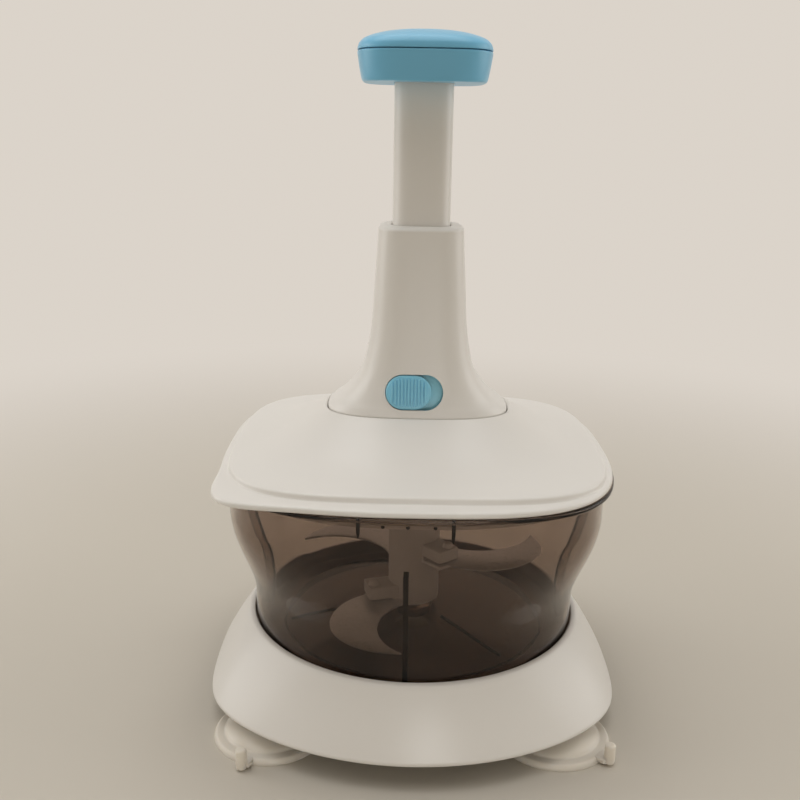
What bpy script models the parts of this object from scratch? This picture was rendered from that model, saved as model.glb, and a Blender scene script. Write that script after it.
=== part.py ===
"""Press-down food chopper: a suction-foot stand, a smoked bowl, a domed lid with a
tower, a sprung plunger and a twisted rod that spins three crescent blades.

Metres, +Z up. The origin is on the bench, under the middle of the stand.
The front, with the lock switch, faces -Y.
"""
import math

import bmesh
import bpy
from mathutils import Matrix, Vector

MM = 0.001
DEGREE = math.pi / 180.0
TURN = 2.0 * math.pi

# Sizes of the facets
LARGE_STEPS = 28
SQUARE_STEPS = 32
MIDDLE_STEPS = 20
SMALL_STEPS = 16
TINY_STEPS = 8
MERGE = 0.00005

# Gaps and overruns shared by the pieces
clearance = 0.3 * MM
slide_gap = 0.35 * MM
overrun = 1.0 * MM

# Stand: a wide ellipse whose two sides are cut straight, under a round collar
stand_width = 207.8 * MM
stand_bulge_width = 229.2 * MM
stand_depth = 198.8 * MM
stand_corner_power = 18.0
stand_edge_height = 12.6 * MM
stand_edge_round = 1.6 * MM
stand_wall = 2.4 * MM
collar_height = 45.5 * MM
collar_lip_width = 3.9 * MM
collar_lip_drop = 0.9 * MM
recess_radius = 82.9 * MM
recess_depth = 12.5 * MM
drain_hole_radius = 9.0 * MM
foot_boss_radius = 7.0 * MM
foot_boss_gap = 0.9 * MM

# Suction feet
foot_radius = 27.0 * MM
foot_ring_gap = 5.65 * MM
foot_spread = 38.8 * DEGREE
foot_rest_width = 2.2 * MM
foot_rim_height = 3.2 * MM
foot_bead_width = 4.4 * MM
foot_dome_height = 9.8 * MM
foot_skin = 3.2 * MM
foot_neck_radius = 7.6 * MM
foot_stud_radius = 4.0 * MM
foot_stud_length = 10.0 * MM
foot_tab_reach = 31.0 * MM
foot_tab_width = 7.5 * MM
foot_tab_thickness = 2.6 * MM
foot_tab_grip_radius = 2.7 * MM
foot_tab_grip_height = 11.0 * MM
foot_tab_turns = {
    "front_left": -108.0 * DEGREE,
    "front_right": -41.0 * DEGREE,
    "rear_left": 139.0 * DEGREE,
    "rear_right": 41.0 * DEGREE,
}

# Bowl: round where it drops into the stand, a soft square at its rim
bowl_height = 95.8 * MM
bowl_wall = 2.2 * MM
bowl_fit = 1.3 * MM
bowl_top_half = 92.6 * MM
bowl_top_power = 2.5
bowl_flare_start = 22.7 * MM
bowl_flare_end = 74.7 * MM
bowl_turn_up = 9.6 * MM
bowl_foot_width = 5.5 * MM
bowl_floor_rise = 3.4 * MM
bowl_floor_crown = 6.2 * MM
bowl_boss_radius = 8.6 * MM
bowl_boss_height = 13.9 * MM
bowl_pin_socket = 5.6 * MM
rim_lip = 3.2 * MM
rim_power = 3.0
rim_thickness = 2.0 * MM
fin_height = 65.7 * MM
fin_inset = 2.6 * MM
fin_thickness = 2.0 * MM
floor_rib_height = 1.4 * MM
floor_rib_thickness = 1.2 * MM
floor_rib_first = 71.0 * DEGREE
floor_rib_count = 3
fin_count = 4
fin_first = -3.0 * DEGREE

# Centre pin and blade hub
pin_radius = 3.0 * MM
pin_top_drop = 4.9 * MM
hub_radius = 13.2 * MM
hub_top_gap = 1.2 * MM
hub_gap = 0.3 * MM
hub_stub_radius = 6.8 * MM
hub_stub_length = 16.5 * MM
hub_bore_fit = 0.4 * MM
hub_foot_length = 1.6 * MM

# Blades: a crescent between a large circle and a smaller one
blade_thickness = 1.2 * MM
blade_height_shares = (0.0506, 0.34, 0.48)
blade_turns = (197.0 * DEGREE, 88.0 * DEGREE, -51.0 * DEGREE)
blade_outer_radius = 31.9 * MM
blade_outer_x = 19.1 * MM
blade_outer_y = 29.7 * MM
blade_inner_radius = 31.3 * MM
blade_inner_x = -0.9 * MM
blade_inner_y = 43.3 * MM
blade_root_gap = 0.4 * MM
block_reach = 26.0 * MM
block_height = 10.2 * MM
block_below_blade = 2.9 * MM
block_low_side = 5.0 * MM
block_high_side = 8.0 * MM
block_slot_gap = 0.3 * MM
block_slot_start = 1.0 * MM
rivet_place = 22.6 * MM
rivet_offset = 3.2 * MM
rivet_radius = 1.6 * MM
rivet_head_radius = 2.9 * MM
rivet_head_height = 2.4 * MM
rivet_fit = 0.3 * MM

# Lid cover
lid_inset = 0.7 * MM
lid_power = 3.0
lid_tab_power = 9.0
lid_tab_inset_x = 2.5 * MM
lid_tab_inset_y = 6.9 * MM
lid_edge_round = 0.9 * MM
lid_flange_thickness = 2.8 * MM
lid_wall = 2.2 * MM
lid_rise = 24.4 * MM
panel_inset_x = 4.8 * MM
panel_inset_y = 8.7 * MM
panel_step = 2.6 * MM
panel_draft = 1.9 * MM
seam_half_x = 44.3 * MM
seam_half_y = 28.9 * MM
seam_power = 3.0
seam_gap = 0.35 * MM
ledge_width = 6.3 * MM
ledge_depth = 4.5 * MM
dome_half_share = (0.76, 0.53, 0.255)
dome_rise_share = (0.116, 0.29, 0.63)
lid_boss_radius = 4.0 * MM
lid_boss_x_share = 0.664
lid_boss_y_share = 0.532
lid_boss_share = 0.36
lid_hole_share = 0.26

# Liner under the lid, with its plug skirt and seal
liner_fit = 3.3 * MM
liner_drop = 3.2 * MM
liner_thickness = 2.0 * MM
liner_skirt_wall = 2.2 * MM
liner_skirt_depth = 7.0 * MM
liner_lip = 1.5 * MM
liner_lip_height = 1.8 * MM
seal_height = 3.6 * MM
seal_waist = 1.0 * MM

# Bearing cup between tower and liner
cup_flange_x = 40.5 * MM
cup_flange_y = 25.0 * MM
cup_half_x = 26.2 * MM
cup_half_y = 20.2 * MM
cup_wall = 2.2 * MM
cup_floor_rise = 4.1 * MM
cup_power = 3.0

# Tower
tower_height = 88.4 * MM
tower_wall = 2.2 * MM
tower_top_half = 20.4 * MM
tower_top_round = 3.2 * MM
tower_power = 3.6
tower_height_shares = (0.03, 0.066, 0.13, 0.197, 0.283, 0.45, 0.66, 0.955)
tower_flare_x_shares = (2.04, 1.81, 1.555, 1.37, 1.255, 1.137, 1.076, 1.0)
tower_flare_y_shares = (1.368, 1.314, 1.245, 1.206, 1.172, 1.127, 1.076, 1.0)
tower_power_shares = (0.86, 0.9, 0.95, 1.0, 1.0, 1.0, 1.0, 1.0)
guide_length = 28.4 * MM
guide_wall = 2.0 * MM
tower_boss_radius = 3.6 * MM
tower_boss_x = 30.0 * MM
tower_boss_y = 11.0 * MM
tower_boss_height = 14.7 * MM

# Plunger and knob
stroke = 60.0 * MM
knob_gap = 3.7 * MM
tube_half = 13.7 * MM
tube_power = 3.6
tube_wall = 2.0 * MM
tube_flange_lip = 2.3 * MM
tube_flange_thickness = 3.0 * MM
tube_socket_depth = 10.1 * MM
tube_web = 3.0 * MM
knob_half = 30.7 * MM
knob_low_half = 27.6 * MM
knob_power = 3.4
knob_skirt_height = 13.3 * MM
knob_cap_height = 9.9 * MM
knob_seam = 0.4 * MM
knob_wall = 2.2 * MM
knob_web = 2.3 * MM
knob_foot_round = 1.5 * MM
knob_lip_height = 1.6 * MM
knob_lip_gap = 0.9 * MM
knob_crown_shares = (1.0, 0.985, 0.93, 0.83, 0.62, 0.40, 0.18)
knob_crown_rise_shares = (0.0, 0.21, 0.43, 0.54, 0.72, 0.88, 0.975)

# Twisted rod, nut, clutch and spring
rod_lead = 40.0 * MM
rod_width = 8.4 * MM
rod_thickness = 3.0 * MM
rod_top_spare = 2.5 * MM
rod_journal_radius = 4.2 * MM
rod_collar_radius = 6.5 * MM
rod_collar_height = 2.0 * MM
rod_fit = 0.4 * MM
rod_step_turn = 15.0 * DEGREE
washer_radius = 8.0 * MM
washer_thickness = 0.8 * MM
nut_height = 8.2 * MM
nut_inset = 0.3 * MM
clutch_radius = 15.5 * MM
clutch_thickness = 3.6 * MM
clutch_tooth = 1.6 * MM
clutch_gap = 0.4 * MM
clutch_teeth = 10
clutch_step_share = 0.045
clutch_lag_share = 0.06
socket_flange_radius = 17.0 * MM
socket_length = 20.2 * MM
socket_bore_depth = 17.4 * MM
spring_radius = 10.5 * MM
spring_wire_radius = 0.6 * MM
spring_turns = 11
spring_curl_points = 8
spring_end_gap = 0.5 * MM

# Lock switch on the front of the tower
slot_centre_x = -2.0 * MM
slot_height = 11.4 * MM
slot_length = 27.6 * MM
slot_width = 17.0 * MM
slot_tilt = 11.6 * DEGREE
slot_face_y = 25.4 * MM
button_length = 21.7 * MM
button_gap = 0.35 * MM
button_proud = 1.0 * MM
button_rib_count = 10
button_rib_height = 0.6 * MM
button_rib_width = 0.9 * MM
button_rib_margin = 4.2 * MM
slider_depth = 3.8 * MM
slider_thickness = 1.6 * MM
slider_left = 13.6 * MM
slider_right = 17.2 * MM
slider_half_width = 9.3 * MM
tongue_width = 5.0 * MM
tongue_x = -9.5 * MM
tongue_thickness = 2.4 * MM
tongue_stem = 1.3 * MM

# Screws
screw_radius = 1.5 * MM
screw_hole_radius = 1.8 * MM
screw_head_radius = 3.0 * MM
screw_head_height = 1.8 * MM
tower_screw_length = 10.0 * MM
knob_screw_length = 9.0 * MM

# Widths that follow from the sizes above
bowl_low_radius = recess_radius - bowl_fit
bowl_foot_radius = bowl_low_radius - bowl_turn_up
rim_half = bowl_top_half + rim_lip
liner_half = bowl_top_half - bowl_wall - liner_fit
lid_half = rim_half - lid_inset
panel_half_x = lid_half - panel_inset_x
panel_half_y = lid_half - panel_inset_y
lid_boss_x = panel_half_x * lid_boss_x_share
lid_boss_y = panel_half_y * lid_boss_y_share
root_radius = hub_radius + block_slot_start

# Heights that follow from the sizes above
platform_top = collar_height - recess_depth
bowl_seat = platform_top + clearance
rim_top = bowl_seat + bowl_height
lid_seat = rim_top + clearance
flange_top = lid_seat + lid_flange_thickness
seam_top = lid_seat + lid_rise
ledge_top = seam_top - ledge_depth
ledge_bottom = ledge_top - lid_wall
tower_foot = ledge_top + clearance
tower_top = seam_top + tower_height
guide_bottom = tower_top - guide_length
tube_bottom = guide_bottom - clearance - tube_flange_thickness
tube_flange_half = tube_half + tube_flange_lip
knob_bottom = tower_top + stroke + knob_gap
tube_top = knob_bottom + tube_socket_depth
cup_top = ledge_bottom - clearance
cup_floor_bottom = lid_seat + cup_floor_rise
cup_floor_top = cup_floor_bottom + cup_wall
liner_top = lid_seat - clearance
liner_plate_top = lid_seat - liner_drop
liner_plate_bottom = liner_plate_top - liner_thickness
liner_skirt_bottom = liner_top - liner_skirt_depth
clutch_top = cup_floor_bottom - clearance
clutch_tip = clutch_top - clutch_thickness
clutch_valley = clutch_tip + clutch_tooth
socket_flange_bottom = liner_plate_top + clearance
socket_bottom = socket_flange_bottom - socket_length - clearance
hub_bottom = bowl_seat + bowl_boss_height + hub_gap
hub_top = socket_bottom - hub_top_gap
stub_top = hub_top + hub_stub_length
pin_bottom = bowl_seat + bowl_boss_height - bowl_pin_socket + clearance
pin_top = hub_top - pin_top_drop
washer_bottom = cup_floor_top + clearance
collar_bottom = washer_bottom + washer_thickness + clearance
collar_top = collar_bottom + rod_collar_height
nut_bottom = tube_bottom + nut_inset
nut_top = nut_bottom + nut_height
rod_top = nut_top + rod_top_spare
tongue_top = tube_bottom - stroke + tube_flange_thickness + clearance + tongue_thickness
slot_place = Vector((slot_centre_x, -slot_face_y, seam_top + slot_height))
hub_stub_bore = pin_radius + hub_bore_fit

WHITE = (0.80, 0.79, 0.76)
SKY_BLUE = (0.16, 0.49, 0.66)
SMOKE = (0.12, 0.10, 0.085)
STEEL = (0.62, 0.63, 0.64)
MILKY = (0.78, 0.77, 0.73)
GREY_PLASTIC = (0.55, 0.56, 0.55)


def clear_scene():
    for item in list(bpy.data.objects):
        bpy.data.objects.remove(item, do_unlink=True)


def make_collection(name):
    group = bpy.data.collections.new(name)
    bpy.context.scene.collection.children.link(group)
    return group


clear_scene()
PARTS = make_collection("food_chopper")
CUTTERS = make_collection("cutters")


# Outlines: each is a function that gives the radius at an angle

def rounded(half_x, half_y, power):
    """A soft rectangle: |x/half_x|^power + |y/half_y|^power = 1."""
    def radius(angle):
        across = abs(math.cos(angle)) / half_x
        along = abs(math.sin(angle)) / half_y
        return (across ** power + along ** power) ** (-1.0 / power)
    return radius


def circle(size):
    return rounded(size, size, 2.0)


def stand_outline(inset):
    """A wide ellipse cut by two straight sides, with soft corners."""
    side = stand_width / 2.0
    bulge_x = stand_bulge_width / 2.0
    bulge_y = stand_depth / 2.0

    def radius(angle):
        cut = abs(math.cos(angle)) / side
        arc = math.hypot(math.cos(angle) / bulge_x, math.sin(angle) / bulge_y)
        power = stand_corner_power
        return (cut ** power + arc ** power) ** (-1.0 / power) - inset
    return radius


def flange_outline(inset):
    """The lid's soft square, its front left corner drawn out into a lifting tab."""
    half = lid_half - inset
    plain = rounded(half, half, lid_power)
    tab = rounded(half - lid_tab_inset_x, half - lid_tab_inset_y, lid_tab_power)

    def radius(angle):
        if math.cos(angle) < 0.0 and math.sin(angle) < 0.0:
            return max(plain(angle), tab(angle))
        return plain(angle)
    return radius


def blended(first, second, share):
    """An outline part of the way from one outline to another."""
    def radius(angle):
        return first(angle) * (1.0 - share) + second(angle) * share
    return radius


def bowl_outline(height, inset):
    """The bowl's plan at a height above its seat: a circle that eases into a soft square."""
    share = (height - bowl_flare_start) / (bowl_flare_end - bowl_flare_start)
    share = min(1.0, max(0.0, share))
    ease = share * share * (3.0 - 2.0 * share)
    half = bowl_low_radius + (bowl_top_half - bowl_low_radius) * ease - inset
    return rounded(half, half, 2.0 + (bowl_top_power - 2.0) * ease)


# Objects, materials and modelling helpers

def finish(item, colour, roughness, metallic=0.0, transmission=0.0):
    """Give an object its own Principled material."""
    material = bpy.data.materials.new(item.name + "_finish")
    material.use_nodes = True
    shader = material.node_tree.nodes["Principled BSDF"]
    shader.inputs["Base Color"].default_value = (*colour, 1.0)
    shader.inputs["Roughness"].default_value = roughness
    shader.inputs["Metallic"].default_value = metallic
    shader.inputs["Transmission Weight"].default_value = transmission
    material.diffuse_color = (*colour, 1.0)
    item.data.materials.clear()
    item.data.materials.append(material)
    return item


def add_mesh(name, shape, group=None, smooth=True):
    """Put a bmesh into a new object, with its faces pointing out."""
    bmesh.ops.recalc_face_normals(shape, faces=shape.faces)
    mesh = bpy.data.meshes.new(name)
    shape.to_mesh(mesh)
    shape.free()
    item = bpy.data.objects.new(name, mesh)
    (group or PARTS).objects.link(item)
    if smooth:
        mesh.shade_smooth()
        mesh.set_sharp_from_angle(angle=35.0 * DEGREE)
    return item


def make_tool(item):
    """Turn an object into a hidden helper for a Boolean."""
    for group in list(item.users_collection):
        group.objects.unlink(item)
    CUTTERS.objects.link(item)
    item.hide_render = True
    item.display_type = "WIRE"
    return item


def combine(item, tool, operation):
    """Cut a tool from an object, or join it on."""
    modifier = item.modifiers.new(tool.name, "BOOLEAN")
    modifier.operation = operation
    modifier.solver = "EXACT"
    modifier.object = make_tool(tool)
    return item


def cut(item, tool):
    return combine(item, tool, "DIFFERENCE")


def join(item, tool):
    return combine(item, tool, "UNION")


def loft(name, sections, steps, capped, offset=(0.0, 0.0)):
    """Skin a run of outlines. Capped, its ends are closed; otherwise it meets itself."""
    shape = bmesh.new()
    rings = []
    for outline, height in sections:
        ring = []
        for index in range(steps):
            angle = TURN * index / steps
            reach = outline(angle)
            place = (offset[0] + reach * math.cos(angle), offset[1] + reach * math.sin(angle), height)
            ring.append(shape.verts.new(place))
        rings.append(ring)
    pairs = list(zip(rings, rings[1:]))
    if not capped:
        pairs.append((rings[-1], rings[0]))
    for lower, upper in pairs:
        for index in range(steps):
            following = (index + 1) % steps
            shape.faces.new((lower[index], lower[following], upper[following], upper[index]))
    if capped:
        for ring in (rings[0], rings[-1]):
            middle = shape.verts.new((offset[0], offset[1], ring[0].co.z))
            for index in range(steps):
                shape.faces.new((ring[index], ring[(index + 1) % steps], middle))
    return add_mesh(name, shape)


def turned(name, profile, steps, closed=False, place=(0.0, 0.0)):
    """Turn a profile of (radius, height) points, listed down its outer side."""
    mesh = bpy.data.meshes.new(name)
    points = [(radius, 0.0, height) for radius, height in profile]
    edges = [(index, index + 1) for index in range(len(points) - 1)]
    if closed:
        edges.append((len(points) - 1, 0))
    mesh.from_pydata(points, edges, [])
    item = bpy.data.objects.new(name, mesh)
    PARTS.objects.link(item)
    screw = item.modifiers.new("Turn", "SCREW")
    screw.axis = "Z"
    screw.angle = TURN
    screw.steps = steps
    screw.render_steps = steps
    screw.use_merge_vertices = True
    screw.merge_threshold = MERGE
    screw.use_smooth_shade = True
    item.location = (place[0], place[1], 0.0)
    return item


def cylinder(name, radius, bottom, top, place=(0.0, 0.0), sides=SMALL_STEPS):
    """A plain round bar between two heights."""
    shape = bmesh.new()
    bmesh.ops.create_cone(shape, cap_ends=True, segments=sides, radius1=radius, radius2=radius,
                          depth=top - bottom)
    bmesh.ops.translate(shape, verts=shape.verts, vec=(place[0], place[1], (top + bottom) / 2.0))
    return add_mesh(name, shape)


def box(name, low, high):
    """A plain block between two corners."""
    shape = bmesh.new()
    bmesh.ops.create_cube(shape, size=1.0)
    span = Vector(high) - Vector(low)
    bmesh.ops.scale(shape, verts=shape.verts, vec=span)
    bmesh.ops.translate(shape, verts=shape.verts, vec=(Vector(high) + Vector(low)) / 2.0)
    return add_mesh(name, shape, smooth=False)


def plate(name, outlines, thickness, place):
    """A flat plate from 2D outlines, the later ones holes, stood where a matrix puts it."""
    curve = bpy.data.curves.new(name, "CURVE")
    curve.dimensions = "2D"
    curve.fill_mode = "BOTH"
    curve.extrude = thickness / 2.0
    for outline in outlines:
        spline = curve.splines.new("POLY")
        spline.points.add(len(outline) - 1)
        for point, (x, y) in zip(spline.points, outline):
            point.co = (x, y, 0.0, 1.0)
        spline.use_cyclic_u = True
    guide = bpy.data.objects.new(name + "_outline", curve)
    CUTTERS.objects.link(guide)
    bpy.context.view_layer.update()
    graph = bpy.context.evaluated_depsgraph_get()
    mesh = bpy.data.meshes.new_from_object(guide.evaluated_get(graph))
    bpy.data.objects.remove(guide, do_unlink=True)
    shape = bmesh.new()
    shape.from_mesh(mesh)
    bpy.data.meshes.remove(mesh)
    bmesh.ops.remove_doubles(shape, verts=shape.verts, dist=MERGE)
    bmesh.ops.transform(shape, matrix=place, verts=shape.verts)
    return add_mesh(name, shape, smooth=False)


def arc(centre_x, centre_y, radius, first, last, count):
    """Points along an arc, both ends included."""
    points = []
    for index in range(count):
        angle = first + (last - first) * index / (count - 1)
        points.append((centre_x + radius * math.cos(angle), centre_y + radius * math.sin(angle)))
    return points


def stadium(left, right, half_width, count):
    """A slot outline with round ends, from its left end to its right end."""
    quarter = TURN / 4.0
    start = arc(left + half_width, 0.0, half_width, quarter, 3.0 * quarter, count)
    end = arc(right - half_width, 0.0, half_width, -quarter, quarter, count)
    return start + end


# Stand and feet

def make_stand():
    """One moulding: skirt, soft collar lip, recess wall and the platform for the bowl."""
    lip = recess_radius + collar_lip_width
    edge = stand_edge_height + stand_edge_round
    inner_collar = recess_radius + stand_wall
    platform_bottom = platform_top - stand_wall
    outer = [
        (circle(drain_hole_radius), platform_top),
        (circle(recess_radius), platform_top),
        (circle(recess_radius), collar_height - collar_lip_drop),
        (circle(recess_radius + collar_lip_drop), collar_height),
        (circle(lip - collar_lip_drop), collar_height),
        (circle(lip), collar_height - collar_lip_drop),
        (blended(circle(lip), stand_outline(0.0), 0.35),
         collar_height - 0.33 * (collar_height - edge)),
        (blended(circle(lip), stand_outline(0.0), 0.75),
         collar_height - 0.72 * (collar_height - edge)),
        (stand_outline(0.0), edge),
        (stand_outline(stand_edge_round / 2.0), stand_edge_height),
    ]
    inner = [
        (stand_outline(stand_wall), stand_edge_height),
        (stand_outline(stand_wall), edge + stand_edge_round),
        (blended(circle(inner_collar), stand_outline(stand_wall), 0.45), collar_height - 0.46 * (
            collar_height - edge) - stand_wall),
        (circle(inner_collar), collar_height - 2.0 * stand_wall),
        (circle(inner_collar), platform_bottom),
        (circle(drain_hole_radius), platform_bottom),
    ]
    stand = loft("stand", outer + inner, LARGE_STEPS, capped=False)
    for name, place in foot_places().items():
        boss = cylinder("boss_" + name, foot_boss_radius, foot_neck_height() + foot_boss_gap,
                        platform_top - overrun, place)
        join(stand, boss)
    for name, place in foot_places().items():
        bore = cylinder("bore_" + name, foot_stud_radius + clearance, 0.0,
                        foot_neck_height() + foot_stud_length + overrun, place)
        cut(stand, bore)
    return finish(stand, WHITE, 0.32)


def foot_places():
    x = (recess_radius + foot_ring_gap) * math.cos(foot_spread)
    y = (recess_radius + foot_ring_gap) * math.sin(foot_spread)
    return {"front_left": (-x, -y), "front_right": (x, -y), "rear_left": (-x, y),
            "rear_right": (x, y)}


def foot_neck_height():
    return stand_edge_height + clearance


def make_foot(name, place):
    """A suction foot: a thin rim, a raised bead, a dome, a stud and a release tab."""
    bead = foot_radius - foot_bead_width
    neck = foot_neck_height()
    profile = [
        (0.0, neck + foot_stud_length),
        (foot_stud_radius, neck + foot_stud_length),
        (foot_stud_radius, neck),
        (foot_neck_radius, neck),
        (foot_neck_radius, foot_dome_height),
        (bead * 0.72, foot_dome_height * 0.82),
        (bead - foot_rim_height / 2.0, foot_rim_height * 1.5),
        (bead, foot_rim_height),
        (foot_radius - foot_rest_width / 2.0, foot_rim_height),
        (foot_radius, foot_rim_height / 2.0),
        (foot_radius, 0.0),
        (foot_radius - foot_rest_width, 0.0),
        (bead * 0.7, foot_dome_height * 0.8 - foot_skin),
        (foot_neck_radius, foot_dome_height - foot_skin),
        (0.0, foot_dome_height - foot_skin),
    ]
    foot = turned("suction_foot_" + name, profile, SMALL_STEPS, place=place)
    turn = foot_tab_turns[name]
    spin = Matrix.Translation((place[0], place[1], 0.0)) @ Matrix.Rotation(turn, 4, "Z")
    arm = box("arm_" + name,
              (foot_radius - foot_rest_width, -foot_tab_width / 2.0, 0.5 * foot_tab_thickness),
              (foot_tab_reach, foot_tab_width / 2.0, 1.5 * foot_tab_thickness))
    arm.matrix_world = spin
    grip = cylinder("grip_" + name, foot_tab_grip_radius, foot_tab_thickness / 2.0,
                    foot_tab_grip_height, (foot_tab_reach, 0.0), TINY_STEPS)
    grip.matrix_world = spin
    join(foot, arm)
    join(foot, grip)
    return finish(foot, MILKY, 0.45, transmission=0.25)


# Bowl

def bowl_floor(radius):
    """Height of the inner floor above the seat, crowned towards the middle."""
    share = min(1.0, radius / bowl_foot_radius)
    return bowl_floor_rise + bowl_wall + bowl_floor_crown * (1.0 - share * share)


def make_bowl():
    """The smoked bowl with its foot ring, crowned floor, pin boss and rim."""
    foot_in = bowl_foot_radius - bowl_foot_width
    levels = []
    count = 6
    for index in range(count):
        levels.append(bowl_flare_start + (bowl_flare_end - bowl_flare_start) * index / (count - 1))
    top = bowl_height - rim_thickness
    pin_floor = bowl_boss_height - bowl_pin_socket
    outer = [
        (circle(bowl_boss_radius), pin_floor - bowl_wall),
        (circle(bowl_boss_radius), bowl_floor(bowl_boss_radius) - bowl_wall),
        (circle(foot_in * 0.9), bowl_floor(foot_in * 0.9) - bowl_wall),
        (circle(foot_in), 0.0),
        (circle(bowl_foot_radius), 0.0),
        (circle(bowl_foot_radius + bowl_turn_up * 0.72), bowl_turn_up * 0.35),
        (circle(bowl_low_radius), bowl_turn_up),
    ]
    outer += [(bowl_outline(level, 0.0), level) for level in levels]
    outer += [
        (bowl_outline(top, 0.0), top),
        (rounded(rim_half, rim_half, rim_power), top),
        (rounded(rim_half, rim_half, rim_power), bowl_height),
    ]
    inner = [(bowl_outline(bowl_height, bowl_wall), bowl_height)]
    inner += [(bowl_outline(level, bowl_wall), level) for level in reversed(levels)]
    floor_edge = bowl_low_radius - bowl_wall - bowl_turn_up * 0.3
    inner += [
        (circle(floor_edge), bowl_floor(bowl_foot_radius) + bowl_wall * 0.4),
        (circle(bowl_foot_radius), bowl_floor(bowl_foot_radius)),
        (circle(bowl_foot_radius * 0.6), bowl_floor(bowl_foot_radius * 0.6)),
        (circle(bowl_boss_radius + bowl_wall), bowl_floor(bowl_boss_radius)),
        (circle(bowl_boss_radius), bowl_boss_height - overrun),
        (circle(bowl_boss_radius - overrun / 2.0), bowl_boss_height),
        (circle(pin_radius + clearance), bowl_boss_height),
        (circle(pin_radius + clearance), pin_floor),
    ]
    sections = [(outline, bowl_seat + height) for outline, height in outer + inner]
    bowl = loft("bowl", sections, LARGE_STEPS, capped=True)
    for index in range(fin_count):
        join(bowl, make_fin(index))
    for index in range(floor_rib_count):
        join(bowl, make_floor_rib(index))
    return finish(bowl, SMOKE, 0.12, transmission=0.85)


def stand_up(turn, height):
    """A matrix that stands a plate on edge along a radius, its Y upwards."""
    return (Matrix.Translation((0.0, 0.0, height)) @ Matrix.Rotation(turn, 4, "Z")
            @ Matrix.Rotation(TURN / 4.0, 4, "X"))


def make_fin(index):
    """A wall fin: straight inside, and sunk half into the flared wall outside."""
    turn = fin_first + TURN * index / fin_count
    bottom = bowl_floor(bowl_foot_radius) - bowl_wall / 2.0
    edge = bowl_low_radius - bowl_wall - fin_inset
    count = 6
    points = [(edge, bottom)]
    for step in range(count):
        level = bowl_flare_start * 0.5 + (fin_height - bowl_flare_start * 0.5) * step / (count - 1)
        points.append((bowl_outline(level, bowl_wall / 2.0)(turn), level))
    points.insert(1, (bowl_low_radius - bowl_wall / 2.0 - overrun, bottom))
    points.append((edge + fin_inset, fin_height))
    points.append((edge, fin_height - fin_inset))
    return plate("fin_%d" % index, [points], fin_thickness, stand_up(turn, bowl_seat))


def make_floor_rib(index):
    """A low radial rib on the crowned floor."""
    turn = floor_rib_first + TURN * index / floor_rib_count
    start = bowl_boss_radius + bowl_wall
    count = 4
    tops = []
    bottoms = []
    for step in range(count):
        radius = start + (bowl_foot_radius - start) * step / (count - 1)
        tops.append((radius, bowl_floor(radius) + floor_rib_height))
        bottoms.append((radius, bowl_floor(radius) - bowl_wall / 2.0))
    return plate("rib_%d" % index, [bottoms + tops[::-1]], floor_rib_thickness,
                 stand_up(turn, bowl_seat))


def make_centre_pin():
    """The steel pin that stands in the bowl's boss and carries the hub."""
    profile = [
        (0.0, pin_top),
        (pin_radius * 0.6, pin_top),
        (pin_radius, pin_top - pin_radius * 0.4),
        (pin_radius, pin_bottom),
        (0.0, pin_bottom),
    ]
    return finish(turned("centre_pin", profile, SMALL_STEPS), STEEL, 0.22, metallic=1.0)


# Blade unit

def blade_height(index):
    return hub_bottom + (hub_top - hub_bottom) * blade_height_shares[index]


def rivet_spot(turn):
    """The rivet's place on the bench plan, for a blade's root direction."""
    return (rivet_place * math.cos(turn) - rivet_offset * math.sin(turn),
            rivet_place * math.sin(turn) + rivet_offset * math.cos(turn))


def make_hub():
    """The moulded hub: a bored sleeve, a hexagonal stub and three slotted root blocks."""
    profile = [
        (hub_stub_bore, hub_top),
        (hub_radius - overrun, hub_top),
        (hub_radius, hub_top - overrun),
        (hub_radius, hub_bottom + hub_foot_length),
        (hub_radius - overrun, hub_bottom + hub_foot_length),
        (hub_radius - 2.0 * overrun, hub_bottom),
        (hub_stub_bore, hub_bottom),
    ]
    hub = turned("blade_hub", profile, MIDDLE_STEPS, closed=True)
    stub = cylinder("stub", hub_stub_radius, hub_top - overrun, stub_top, sides=6)
    join(hub, stub)
    for index, turn in enumerate(blade_turns):
        bottom = block_bottom(index)
        block = box("block_%d" % index, (hub_radius / 2.0, -block_low_side, bottom),
                    (block_reach, block_high_side, bottom + block_height))
        block.matrix_world = Matrix.Rotation(turn, 4, "Z")
        join(hub, block)
    for index, turn in enumerate(blade_turns):
        middle = blade_height(index)
        half = blade_thickness / 2.0 + block_slot_gap
        cut(hub, make_blade_slot(index, middle, half))
        hole = cylinder("rivet_hole_%d" % index, rivet_radius + rivet_fit,
                        block_bottom(index) - overrun, block_bottom(index) + block_height + overrun,
                        rivet_spot(turn), TINY_STEPS)
        cut(hub, hole)
    pin_room = cylinder("pin_room", hub_stub_bore, hub_bottom - overrun, pin_top + overrun)
    cut(hub, pin_room)
    return finish(hub, GREY_PLASTIC, 0.4)


def make_blade_slot(index, middle, half):
    """The room for a blade in its block: it starts on an arc round the hub's sleeve."""
    low = block_low_side + overrun
    high = block_high_side + overrun
    outline = arc(0.0, 0.0, root_radius, -math.asin(low / root_radius),
                  math.asin(high / root_radius), 8)
    outline += [(block_reach + overrun, high), (block_reach + overrun, -low)]
    place = Matrix.Translation((0.0, 0.0, middle)) @ Matrix.Rotation(blade_turns[index], 4, "Z")
    return plate("blade_slot_%d" % index, [outline], 2.0 * half, place)


def block_bottom(index):
    return blade_height(index) - block_below_blade


def circle_crossing(x, y, radius, other_x, other_y, other_radius, side):
    """Where two circles cross, as the angle on the first one; side picks the crossing."""
    reach = math.hypot(other_x - x, other_y - y)
    bearing = math.atan2(other_y - y, other_x - x)
    chord = (radius ** 2 - other_radius ** 2 + reach ** 2) / (2.0 * reach)
    return bearing + side * math.acos(chord / radius)


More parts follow.
